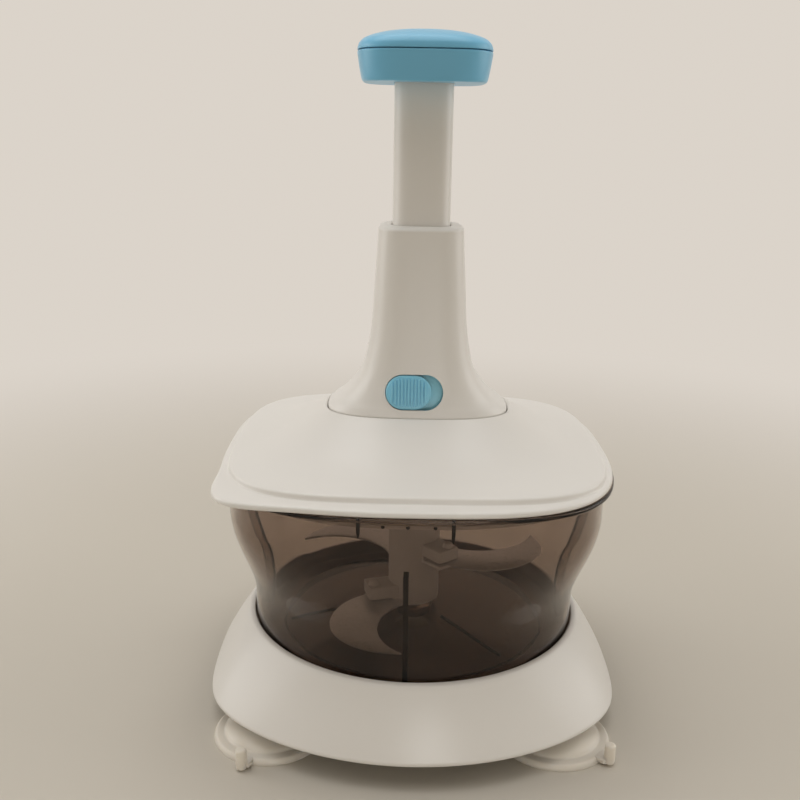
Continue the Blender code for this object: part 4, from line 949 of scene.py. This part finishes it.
def tower_mesh():
    """The tower: foot in the lid's seat, flared neck, rounded top and the plunger's guide."""
    foot = seam_top - ledge_drop + gap
    guide_half = tube_half + guide_gap
    guide = square(guide_half, tube_power)
    guide_out = square(guide_half + guide_wall, tube_power)
    guide_bottom = tower_top - guide_length
    roof = tower_top - 1.5 * tower_wall
    outside = smooth_rings(tower_keys(0.0), 60)
    inside = smooth_rings(tower_keys(tower_wall)[:-1], 24)
    return lathe([
        (soft_square(seam_half_x, seam_half_y, seam_power), foot, 0.3),
        (*outside[0], 0.5),
        *unrounded(outside[1:]),
        (square(tower_half, tower_power), tower_top - 0.35 * tower_edge_round, 2.2),
        (square(tower_half - tower_edge_round, tower_power), tower_top, 1.6),
        (guide + 0.5 * MM, tower_top, 0.4),
        (guide, tower_top - 0.6 * MM, 0.4),
        (guide, guide_bottom, 0.4),
        (guide_out, guide_bottom, 0.4),
        (guide_out, roof, 0.8),
        (square(tower_half - tower_wall, tower_power), roof, 0.8),
        *unrounded(inside[::-1]),
        (soft_square(seam_half_x - tower_wall, seam_half_y - tower_wall, seam_power), foot, 0.3),
    ], True)


def slot_frame():
    """The slot's own frame: X along the slot, Y up its tilted face, Z outwards."""
    return Matrix.Translation(slot_centre) @ Matrix.Rotation(TURN / 4.0 - slot_tilt, 4, "X")


def slot_cutter_mesh():
    """A stadium prism that cuts the slot through the tower's face."""
    outline = stadium(slot_length / 2.0, slot_width / 2.0, 96)
    return placed(slab_mesh(outline, -6.0 * MM, 6.0 * MM, 0.0, 1), slot_frame())


def button_mesh():
    """The ribbed thumb button: a stadium slab with rounded edges and upright ribs."""
    shapes = bpy.context.scene.chopper_shapes
    half = slot_width / 2.0 - button_gap
    middle = -slot_length / 2.0 + button_gap + button_length / 2.0
    outline = stadium(button_length / 2.0, half, 96) + np.array([middle, 0.0])
    meshes = [slab_mesh(outline, gap - slider_depth, button_proud - 0.4 * MM, 0.7 * MM)]
    span = button_length - 2.0 * shapes.rib_margin
    pitch = span / (shapes.rib_count - 1)
    for index in range(shapes.rib_count):
        x = middle - span / 2.0 + pitch * index
        past = max(0.0, abs(x - middle) - (button_length / 2.0 - half))
        reach = math.sqrt(max(0.0, half * half - past * past)) - 1.5 * MM
        rib = block_outline(x - pitch * 0.3, x + pitch * 0.3, -reach, reach, pitch * 0.29, 5)
        meshes.append(slab_mesh(rib, 0.0, button_proud + 0.5 * MM, 0.3 * MM))
    return placed(merged(meshes), slot_frame())


def slider_mesh():
    """The plate behind the slot, seen beside the button, with its catch tongue below."""
    centre = -slot_length / 2.0 + button_gap + button_length / 2.0
    outline = stadium((slider_left_reach + slider_right_reach) / 2.0, slider_half_width, 72)
    outline += np.array([centre + (slider_right_reach - slider_left_reach) / 2.0, 0.0])
    plate = placed(slab_mesh(outline, -slider_depth - slider_thickness, -slider_depth, 0.25 * MM),
                   slot_frame())
    base = low("lock_slider").z
    stem = slab_mesh(block_outline(*tongue_sides, stem_front, -21.6 * MM, 0.3 * MM),
                     base, base + 4.8 * MM, 0.2 * MM)
    tongue = slab_mesh(block_outline(*tongue_sides, tongue_front, high("lock_slider").y,
                                     0.4 * MM), base, base + 2.4 * MM, 0.3 * MM)
    return merged([plate, stem, tongue])


def tube_mesh():
    """The square plunger tube, with its foot flange and the web at its top."""
    outside = square(tube_half, tube_power)
    inside = square(tube_half - tube_wall, tube_power)
    flange = square(tube_half + tube_flange, tube_power)
    shoulder = tube_bottom + tube_flange_thickness
    web = tube_top - tube_web
    return lathe([
        (outside, tube_top, 0.4), (outside, shoulder, 0.6), (flange, shoulder, 0.4),
        (flange, tube_bottom, 0.4), (inside, tube_bottom, 0.3), (inside, web, 0.5),
        (knob_screw_bore, web, 0.2), (knob_screw_bore, tube_top, 0.2),
    ], True)


def tube_notch_mesh():
    """The notch in the tube's foot flange that lets the catch tongue by."""
    notch = block_outline(*notch_sides, *notch_depth, 0.2 * MM, 3)
    return slab_mesh(notch, tube_bottom - 2.0 * MM, tube_bottom + tube_flange_thickness + 1.0 * MM,
                     0.0, 1)


def knob_cap_mesh():
    """The crowned cap of the knob and its hollow inside."""
    height = knob_top - knob_split
    outer = []
    inner = []
    for share, rise in zip(knob_crown_half_shares, knob_crown_rise_shares):
        power = knob_power - (knob_power - knob_top_power) * rise * rise
        outer.append(ring(square(knob_half * share, power), knob_split + height * rise))
        inner.append(ring(square((knob_half - knob_wall) * share, power),
                          knob_split + (height - knob_wall) * rise))
    outer = smooth_rings(outer[::-1], 40)
    inner = smooth_rings(inner, 16)
    return lathe([*unrounded(outer[:-1]), (outer[-1, 0] - 0.15 * MM, outer[-1, 1], 0.25),
                  (*inner[0], 0.25), *unrounded(inner[1:])], False)


def knob_skirt_mesh():
    """The lower half of the knob, drawn in towards its foot, with the tube's socket."""
    low_ring = square(knob_low_half, knob_power)
    high_ring = square(knob_half, knob_power)
    top = knob_split - 0.4 * MM
    spigot_top = top + 1.6 * MM
    socket = square(tube_half + gap, tube_power)
    web_bottom = tube_top + gap
    web_top = web_bottom + 2.3 * MM
    spigot_half = knob_half - knob_wall - 0.9 * MM
    spigot = square(spigot_half, knob_power)
    well = square(spigot_half - knob_wall, knob_power)
    return lathe([
        (socket, web_bottom, 0.3),
        (socket, knob_bottom, 0.4),
        (low_ring - 0.9 * MM, knob_bottom, 1.0),
        (low_ring, knob_bottom + 1.1 * MM, 1.3),
        (low_ring * 0.45 + high_ring * 0.55, knob_bottom + (top - knob_bottom) * 0.5, 3.0),
        (high_ring, top - 0.5 * MM, 0.8),
        (high_ring - 0.35 * MM, top, 0.2),
        (spigot, top, 0.2),
        (spigot, spigot_top, 0.3),
        (well, spigot_top, 0.3),
        (well, web_top, 0.8),
        (knob_screw_bore, web_top, 0.2),
        (knob_screw_bore, web_bottom, 0.2),
    ], True)


def coil_mesh():
    """The return spring: a circle of wire carried along a helix.

    The helix climbs one wire's width over its first turn and its last, and evenly between.
    The circle stands on the radius and on the cross product of the path's run with it.
    """
    share = np.linspace(0.0, 1.0, spring_turns * WIRE_STEPS + 1)
    turn = TURN * spring_turns * share
    pitch = 2.0 * spring_wire_radius + spring_end_gap
    end = 1.0 / spring_turns
    height = np.interp(share, [0.0, end, 1.0 - end, 1.0],
                       [spring_low, spring_low + pitch, spring_high - pitch, spring_high])
    out = np.stack([np.cos(turn), np.sin(turn), np.zeros_like(turn)], axis=-1)
    path = out * spring_radius + np.array([0.0, 0.0, 1.0]) * height[:, None]
    across = np.cross(np.gradient(path, axis=0), out)
    across /= np.linalg.norm(across, axis=1)[:, None]
    wire = angles(WIRE_RING)[None, :, None]
    return capped(path[:, None] + spring_wire_radius * (out[:, None] * np.cos(wire)
                                                        + across[:, None] * np.sin(wire)))


def blade_height(index):
    return hub_bottom + hub_length * blade_height_shares[index]


def crossing(centre, radius, other, other_radius, side):
    """Angle on the first circle where it crosses the other one; side picks the crossing."""
    away = (other[0] - centre[0], other[1] - centre[1])
    reach = math.hypot(*away)
    chord = (radius ** 2 - other_radius ** 2 + reach ** 2) / (2.0 * reach)
    return math.atan2(away[1], away[0]) + side * math.acos(chord / radius)


def blade_outline():
    """Paired points of the crescent's outer and inner edge, from its root to its tip."""
    root = (0.0, 0.0)
    edges = []
    for centre, radius, other, other_radius, start_side, end_side in (
            (blade_outer_centre, blade_outer_radius, blade_inner_centre, blade_inner_radius,
             1.0, -1.0),
            (blade_inner_centre, blade_inner_radius, blade_outer_centre, blade_outer_radius,
             1.0, 1.0)):
        first = crossing(centre, radius, root, blade_root_radius, start_side)
        last = crossing(centre, radius, other, other_radius, end_side)
        share = np.linspace(0.0, 1.0, 72)
        turn = first + (last - first) * (1.0 - (1.0 - share) ** 1.5)
        edges.append(np.stack([centre[0] + radius * np.cos(turn),
                               centre[1] + radius * np.sin(turn)], axis=-1))
    return edges


def blade_mesh(index):
    """A crescent ground to an edge along its outer side.

    Across the blade the thickness is full up to the bevel and then falls to a thin edge.
    """
    shapes = bpy.context.scene.chopper_shapes
    outer, inner = blade_outline()
    width = np.linalg.norm(outer - inner, axis=1)
    bevel = np.minimum(shapes.blade_bevel, width * 0.45) / np.maximum(width, 1e-6)
    full = blade_thickness / 2.0
    edge = 0.12 * MM
    none = np.zeros_like(bevel)
    steps = [(none, edge * 3.0), (none + 0.04, full), (1.0 - bevel, full),
             (1.0 - bevel * 0.04, edge)]
    grid = []
    for share, half in steps + [(share, -half) for share, half in steps[::-1]]:
        flat = inner + (outer - inner) * share[:, None]
        grid.append(np.concatenate([flat, np.full((len(flat), 1), half)], axis=1))
    matrix = (Matrix.Translation((0.0, 0.0, blade_height(index)))
              @ Matrix.Rotation(blade_turns[index], 4, "Z"))
    return placed(capped(np.stack(grid, axis=1)), matrix)


def hub_mesh():
    """The moulded hub: bored sleeve, hexagonal stub and three slotted blocks."""
    hub_top = hub_bottom + hub_length
    stub_low = hub_top - 1.0 * MM
    sleeve = lathe([
        (pin_bore, hub_top, 0.3), (hub_radius, hub_top, 1.0),
        (hub_radius, hub_bottom + 1.6 * MM, 0.6), (hub_radius - 2.0 * MM, hub_bottom, 0.6),
        (pin_bore, hub_bottom, 0.3),
    ], True, MIDDLE_RING)
    side = (angles(60) % (TURN / 6.0)) - TURN / 12.0
    hexagon = np.minimum(stub_radius * math.cos(TURN / 12.0) / np.cos(side), stub_radius * 0.985)
    stub = lathe([(hexagon * 0.02, hub_stub_top, 0.0), (hexagon, hub_stub_top, 0.9),
                  (hexagon, stub_low, 0.0), (hexagon * 0.02, stub_low, 0.0)], False, len(side))
    blocks = [mesh for index in range(len(blade_turns)) for mesh in block_meshes(index)]
    return merged([sleeve, stub, *blocks])


def block_meshes(index):
    """The two halves of a root block, above and below the blade that it holds."""
    blade = blade_height(index)
    bottom = blade - block_below_blade
    half = blade_thickness / 2.0 + gap
    outline = block_outline(hub_radius / 2.0, block_reach, -block_low_side, block_high_side,
                            1.2 * MM, 7)
    inner = block_outline(hub_radius / 2.0, hub_radius + 0.6 * MM, -block_low_side,
                          block_high_side, 0.2 * MM, 3)
    turn = Matrix.Rotation(blade_turns[index], 4, "Z")
    below = slab_mesh(outline, bottom, blade - half, 0.6 * MM)
    above = slab_mesh(outline, blade + half, bottom + block_height, 0.8 * MM)
    bridge = slab_mesh(inner, blade - half - 0.8 * MM, blade + half + 0.8 * MM, 0.0, 1)
    return [placed(mesh, turn) for mesh in (below, above, bridge)]


def rivet_mesh(index):
    """A domed rivet head on its shank."""
    turn = blade_turns[index]
    place = (rivet_x * math.cos(turn) - rivet_y * math.sin(turn),
             rivet_x * math.sin(turn) + rivet_y * math.cos(turn))
    bottom = blade_height(index) - block_below_blade
    seat = bottom + block_height + gap
    top = seat + rivet_head_height
    return lathe([(pole, top, 0.0), (rivet_head_radius * 0.7, top, 1.2),
                  (rivet_head_radius, seat + 0.5 * MM, 0.6), (rivet_head_radius, seat, 0.1),
                  (rivet_shank_radius, seat, 0.0), (rivet_shank_radius, bottom, 0.0),
                  (pole, bottom, 0.0)], False, SMALL_RING, place)


# Sizes and colours that a user may change

def colour_setting(name, description, default):
    return FloatVectorProperty(name=name, description=description, default=default,
                               subtype="COLOR", min=0.0, max=1.0)


class ChopperColours(bpy.types.PropertyGroup):
    """Colours of the chopper's materials and of the backdrop, as linear values."""

    white: colour_setting("White", "Colour of the housing plastic", (0.80, 0.775, 0.735))
    blue: colour_setting("Blue", "Colour of the knob and the lock", (0.185, 0.54, 0.80))
    smoke: colour_setting("Smoke", "Tint of the bowl's plastic", (0.46, 0.32, 0.20))
    # Also the colour of the painted shade marks below the bowl's rim
    deep_smoke: colour_setting("Deep Smoke", "Colour of the bowl's plastic where it is thick",
                               (0.012, 0.008, 0.006))
    pale_blue: colour_setting("Pale Blue", "Colour of the lock button", (0.25, 0.63, 0.83))
    # Painted light: this blue is paler than the plate's plastic, to offset the shade in the slot
    plate_blue: colour_setting("Plate Blue", "Colour of the plate behind the lock button",
                               (0.36, 0.80, 0.97))
    milky: colour_setting("Milky", "Colour of the feet and the seal", (0.88, 0.81, 0.71))
    grey: colour_setting("Grey", "Colour of the hub and the drive plastic", (0.62, 0.61, 0.59))
    steel: colour_setting("Steel", "Colour of the blades and the screws", (0.66, 0.66, 0.66))
    backdrop: colour_setting("Floor", "Colour of the floor and the backdrop",
                             (0.635, 0.592, 0.52))
    far_backdrop: colour_setting("Far Backdrop", "Colour that the backdrop shows far behind",
                                 (0.71, 0.655, 0.59))


class ChopperShapes(bpy.types.PropertyGroup):
    """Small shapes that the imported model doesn't fix."""

    rib_count: IntProperty(name="Grip Ribs", description="Ribs on the lock button", default=11,
                           min=2, max=16)
    rib_margin: FloatProperty(name="Rib Margin", description="Bare length at each button end",
                              default=2.9 * MM, min=0.0, unit="LENGTH")
    blade_bevel: FloatProperty(name="Blade Bevel", description="Width of the ground edge",
                               default=3.2 * MM, min=0.0, unit="LENGTH")


class ChopperStudio(bpy.types.PropertyGroup):
    """Light of the studio."""

    top_power: FloatProperty(name="Top Light", description="Power of the large top lamp",
                             default=7.0, min=0.0, unit="POWER")
    side_power: FloatProperty(name="Side Lights", description="Power of each side lamp",
                              default=3.2, min=0.0, unit="POWER")
    front_power: FloatProperty(name="Front Light", description="Power of the front lamp",
                               default=0.06, min=0.0, unit="POWER")
    sky_strength: FloatProperty(name="Sky", description="Strength of the even light all round",
                                default=0.57, min=0.0)


# Operators, one for each group of pieces

class CHOPPER_OT_stand(bpy.types.Operator):
    """Build the stand and its four suction feet"""

    bl_idname = "chopper.stand"
    bl_label = "Stand and Feet"

    def execute(self, context):
        piece("stand_shell", stand_mesh(), "White Housing Plastic", "base", "stand")
        for name in feet:
            piece("foot_" + name, foot_mesh(name), "Milky Soft Plastic", "base",
                  "suction_foot_" + name)
        return {"FINISHED"}


class CHOPPER_OT_bowl(bpy.types.Operator):
    """Build the smoked bowl with its fins and floor ribs"""

    bl_idname = "chopper.bowl"
    bl_label = "Bowl"

    def execute(self, context):
        turns = [fin_first + TURN * index / 4 for index in range(4)]
        bowl = piece("bowl_shell", bowl_mesh(), "Smoked Bowl Plastic", "bowl_body", "bowl")
        combine(bowl, merged([fin_mesh(turn, -bowl_wall / 2.0, fin_depth) for turn in turns]),
                "UNION")
        dark = [fin_mesh(turn, fin_depth + 0.1 * MM, fin_depth + fin_edge) for turn in turns]
        dark += [floor_rib_mesh(floor_rib_first + TURN * index / 3) for index in range(3)]
        # Painted shade: these dark marks below the rim stand in for the shade of small pips and
        # notches
        dark += [shade_mark_mesh(*mark) for mark in mouth_shade_marks]
        piece("bowl_ribs", merged(dark), "Deep Smoke Plastic", "bowl_body")
        dress("Bright Turned Steel", "centre_pin")
        return {"FINISHED"}


class CHOPPER_OT_blades(bpy.types.Operator):
    """Build the hub, the three crescent blades and their rivets"""

    bl_idname = "chopper.blades"
    bl_label = "Blade Unit"

    def execute(self, context):
        piece("hub", hub_mesh(), "Light Grey Hub Plastic", "blades", "blade_hub")
        for index, name in enumerate(("lower", "middle", "upper")):
            piece("crescent_" + name, blade_mesh(index), "Ground Blade Steel", "blades",
                  "blade_" + name, sharp=20.0 * DEGREE)
            piece("rivet_" + name, rivet_mesh(index), "Light Grey Hub Plastic", "blades",
                  "blade_rivet_%d" % (index + 1))
        return {"FINISHED"}


class CHOPPER_OT_lid(bpy.types.Operator):
    """Build the lid's cover, its liner and its seal"""

    bl_idname = "chopper.lid"
    bl_label = "Lid"

    def execute(self, context):
        piece("lid_shell", lid_cover_mesh(), "White Housing Plastic", "lid", "lid_cover")
        piece("liner_shell", liner_mesh(), "White Housing Plastic", "lid", "lid_liner")
        piece("seal_ring", seal_mesh(), "Milky Soft Plastic", "lid", "lid_seal")
        dress("White Housing Plastic", "bearing_cup")
        dress("Bright Turned Steel", *("%s_screw_%d" % (place, index + 1) for index in range(4)
                                       for place in ("liner", "tower")))
        return {"FINISHED"}


class CHOPPER_OT_tower(bpy.types.Operator):
    """Build the tower with its lock switch"""

    bl_idname = "chopper.tower"
    bl_label = "Tower and Lock"

    def execute(self, context):
        tower = piece("tower_shell", tower_mesh(), "White Housing Plastic", "lid",
                      "tower_housing")
        combine(tower, slot_cutter_mesh(), "DIFFERENCE")
        piece("lock_thumb", button_mesh(), "Pale Blue Plastic", "lock", "lock_button")
        piece("lock_plate", slider_mesh(), "Light Blue Plate", "lock", "lock_slider")
        return {"FINISHED"}


class CHOPPER_OT_plunger(bpy.types.Operator):
    """Build the plunger tube and the two halves of the knob"""

    bl_idname = "chopper.plunger"
    bl_label = "Plunger and Knob"

    def execute(self, context):
        tube = piece("plunger_shell", tube_mesh(), "White Housing Plastic", "plunger",
                     "plunger_tube")
        combine(tube, tube_notch_mesh(), "DIFFERENCE")
        piece("knob_crown", knob_cap_mesh(), "Sky Blue Plastic", "plunger", "knob_cap")
        piece("knob_base", knob_skirt_mesh(), "Sky Blue Plastic", "plunger", "knob_skirt")
        return {"FINISHED"}


class CHOPPER_OT_drive(bpy.types.Operator):
    """Build the return spring and finish the drive pieces inside the tower"""

    bl_idname = "chopper.drive"
    bl_label = "Drive"

    def execute(self, context):
        spring = piece("spring_coil", coil_mesh(), "Bright Turned Steel", "lid", "return_spring")
        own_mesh(spring)
        dress("Bright Turned Steel", "twisted_rod", "thrust_washer", "knob_screw")
        dress("Light Grey Hub Plastic", "drive_nut", "clutch_driver", "drive_socket")
        return {"FINISHED"}


class CHOPPER_OT_stage(bpy.types.Operator):
    """Set the floor, the backdrop, the lamps, the sky and the camera"""

    bl_idname = "chopper.stage"
    bl_label = "Stage"

    def execute(self, context):
        scene = context.scene
        studio = scene.chopper_studio
        make_backdrop(context.scene.chopper_colours)
        middle = (0.0, 0.0, 0.15)
        make_lamp("top_lamp", (-0.1, 0.1, 1.4), middle, 1.2, studio.top_power)
        make_lamp("left_lamp", (-1.1, 0.1, 0.5), middle, 0.9, studio.side_power * 1.15)
        make_lamp("right_lamp", (1.1, 0.1, 0.5), middle, 0.9, studio.side_power)
        front = make_lamp("front_lamp", (0.1, -0.8, 0.05), (0.0, -0.1, -0.03), 0.3,
                          studio.front_power)
        front.data.spread = 40.0 * DEGREE
        make_sky(studio.sky_strength)
        make_camera()
        scene.view_settings.view_transform = "Standard"
        return {"FINISHED"}


def make_backdrop(colours):
    """A round cove: a flat floor that curves up all round into a wall.

    Beyond the flat the height is a quarter circle of the cove's radius. The backdrop shows
    its own colour, the more the further out, and near the chopper it takes light and shadow.
    """
    flat = np.linspace(0.002, floor_reach, 30)[:-1]
    quarter = np.linspace(0.0, TURN / 4.0, 24)
    radii = np.concatenate([flat, floor_reach + cove_radius * np.sin(quarter),
                            [floor_reach + cove_radius]])
    heights = np.concatenate([np.zeros_like(flat), cove_radius * (1.0 - np.cos(quarter)),
                              [wall_height]])
    turn = angles(MIDDLE_RING)
    grid = np.stack([radii[:, None] * np.cos(turn), radii[:, None] * np.sin(turn),
                     np.broadcast_to(heights[:, None], (len(radii), MIDDLE_RING))], axis=-1)
    points = np.concatenate([grid.reshape(-1, 3), [[0.0, 0.0, 0.0]]])
    first = np.arange(MIDDLE_RING)
    middle = np.stack([first, (first + 1) % MIDDLE_RING, np.full(MIDDLE_RING, len(points) - 1)],
                      axis=-1)
    faces = grid_faces(len(radii), MIDDLE_RING, False)[:, ::-1]
    item = mesh_object("backdrop", (points, [faces, middle]))
    item.data.shade_smooth()
    paper = "Cream Backdrop Paper"
    backdrop_paper(paper, tuple(colours.backdrop), tuple(colours.far_backdrop))
    item.data.materials.append(bpy.data.materials[paper])
    return item


def backdrop_paper(name, near, far):
    """Matt cream paper that glows a little where it is far, for camera and mirror rays only."""
    tree, shader = principled(name, {"Roughness": 0.9, "Specular IOR Level": 0.15})
    dim = tuple(channel * 0.985 for channel in near)
    tree.links.new(tinted(tree, remap(tree, noise(tree, 3.0, 3.0), 0.0, 1.0), dim, near),
                   shader.inputs["Base Color"])
    glow = add_node(tree, "Emission", {"Color": (*far, 1.0)})
    place = add_node(tree, "TexCoord", {})
    reach = add_node(tree, "VectorMath", {0: place.outputs["Object"]}, operation="LENGTH")
    fade = add_node(tree, "MapRange", {"Value": reach.outputs["Value"], "From Min": glow_start,
                                       "From Max": glow_full}, interpolation_type="SMOOTHSTEP")
    path = add_node(tree, "LightPath", {})
    rays = path.outputs["Is Camera Ray"]
    for kind in ("Is Glossy Ray", "Is Transmission Ray"):
        either = add_node(tree, "Math", {0: rays, 1: path.outputs[kind]}, operation="MAXIMUM")
        rays = either.outputs["Value"]
    share = add_node(tree, "Math", {0: rays, 1: fade.outputs["Result"]}, operation="MULTIPLY")
    mix = add_node(tree, "MixShader", {0: share.outputs["Value"], 1: shader.outputs["BSDF"],
                                       2: glow.outputs["Emission"]})
    tree.links.new(mix.outputs["Shader"], tree.nodes["Material Output"].inputs["Surface"])


def make_lamp(name, place, target, size, power):
    """A square area lamp that looks at a point."""
    data = bpy.data.lights.new(name, "AREA")
    data.shape = "SQUARE"
    data.size = size
    data.energy = power
    item = bpy.data.objects.new(name, data)
    item.location = place
    aim = Vector(target) - Vector(place)
    item.rotation_euler = aim.to_track_quat("-Z", "Y").to_euler()
    bpy.context.scene.collection.objects.link(item)
    return item


def make_sky(strength):
    """An even, slightly warm light from all round."""
    world = bpy.data.worlds.new("studio_sky")
    world.use_nodes = True
    background = world.node_tree.nodes["Background"]
    background.inputs["Color"].default_value = (1.0, 0.97, 0.93, 1.0)
    background.inputs["Strength"].default_value = strength
    bpy.context.scene.world = world


def make_camera():
    """The photograph's camera: pitched down, with a slight roll and yaw."""
    forward = Vector((math.sin(camera_yaw) * math.cos(camera_pitch),
                      math.cos(camera_yaw) * math.cos(camera_pitch), -math.sin(camera_pitch)))
    right = Vector((math.cos(camera_yaw), -math.sin(camera_yaw), 0.0))
    up = right.cross(forward)
    side = right * math.cos(camera_roll) + up * math.sin(camera_roll)
    top = up * math.cos(camera_roll) - right * math.sin(camera_roll)
    data = bpy.data.cameras.new("photo_camera")
    data.sensor_width = sensor_width
    data.sensor_fit = "HORIZONTAL"
    data.lens = sensor_width * camera_focal_pixels / picture_pixels
    data.clip_start = 0.01
    data.clip_end = 50.0
    item = bpy.data.objects.new("photo_camera", data)
    rows = Matrix((side, top, -forward)).transposed().to_4x4()
    item.matrix_world = Matrix.Translation(camera_place) @ rows
    bpy.context.scene.collection.objects.link(item)
    bpy.context.scene.camera = item


OPERATORS = (CHOPPER_OT_stand, CHOPPER_OT_bowl, CHOPPER_OT_blades, CHOPPER_OT_lid,
             CHOPPER_OT_tower, CHOPPER_OT_plunger, CHOPPER_OT_drive, CHOPPER_OT_stage)


class CHOPPER_PT_panel(bpy.types.Panel):
    """Lists the chopper's pieces and their settings"""

    bl_idname = "CHOPPER_PT_panel"
    bl_label = "Food Chopper"
    bl_space_type = "VIEW_3D"
    bl_region_type = "UI"
    bl_category = "Chopper"

    def draw(self, context):
        layout = self.layout
        for operator in OPERATORS:
            layout.operator(operator.bl_idname)
        for group in (context.scene.chopper_colours, context.scene.chopper_shapes,
                      context.scene.chopper_studio):
            column = layout.column()
            for setting in group.__annotations__:
                column.prop(group, setting)


CLASSES = (ChopperColours, ChopperShapes, ChopperStudio) + OPERATORS + (CHOPPER_PT_panel,)


def register():
    for item in CLASSES:
        bpy.utils.register_class(item)
    bpy.types.Scene.chopper_colours = PointerProperty(type=ChopperColours)
    bpy.types.Scene.chopper_shapes = PointerProperty(type=ChopperShapes)
    bpy.types.Scene.chopper_studio = PointerProperty(type=ChopperStudio)


def unregister():
    del bpy.types.Scene.chopper_studio
    del bpy.types.Scene.chopper_shapes
    del bpy.types.Scene.chopper_colours
    for item in reversed(CLASSES):
        bpy.utils.unregister_class(item)


def main():
    register()
    bpy.ops.chopper.stand()
    bpy.ops.chopper.bowl()
    bpy.ops.chopper.blades()
    bpy.ops.chopper.lid()
    bpy.ops.chopper.tower()
    bpy.ops.chopper.plunger()
    bpy.ops.chopper.drive()
    bpy.ops.chopper.stage()


if __name__ == "__main__":
    main()
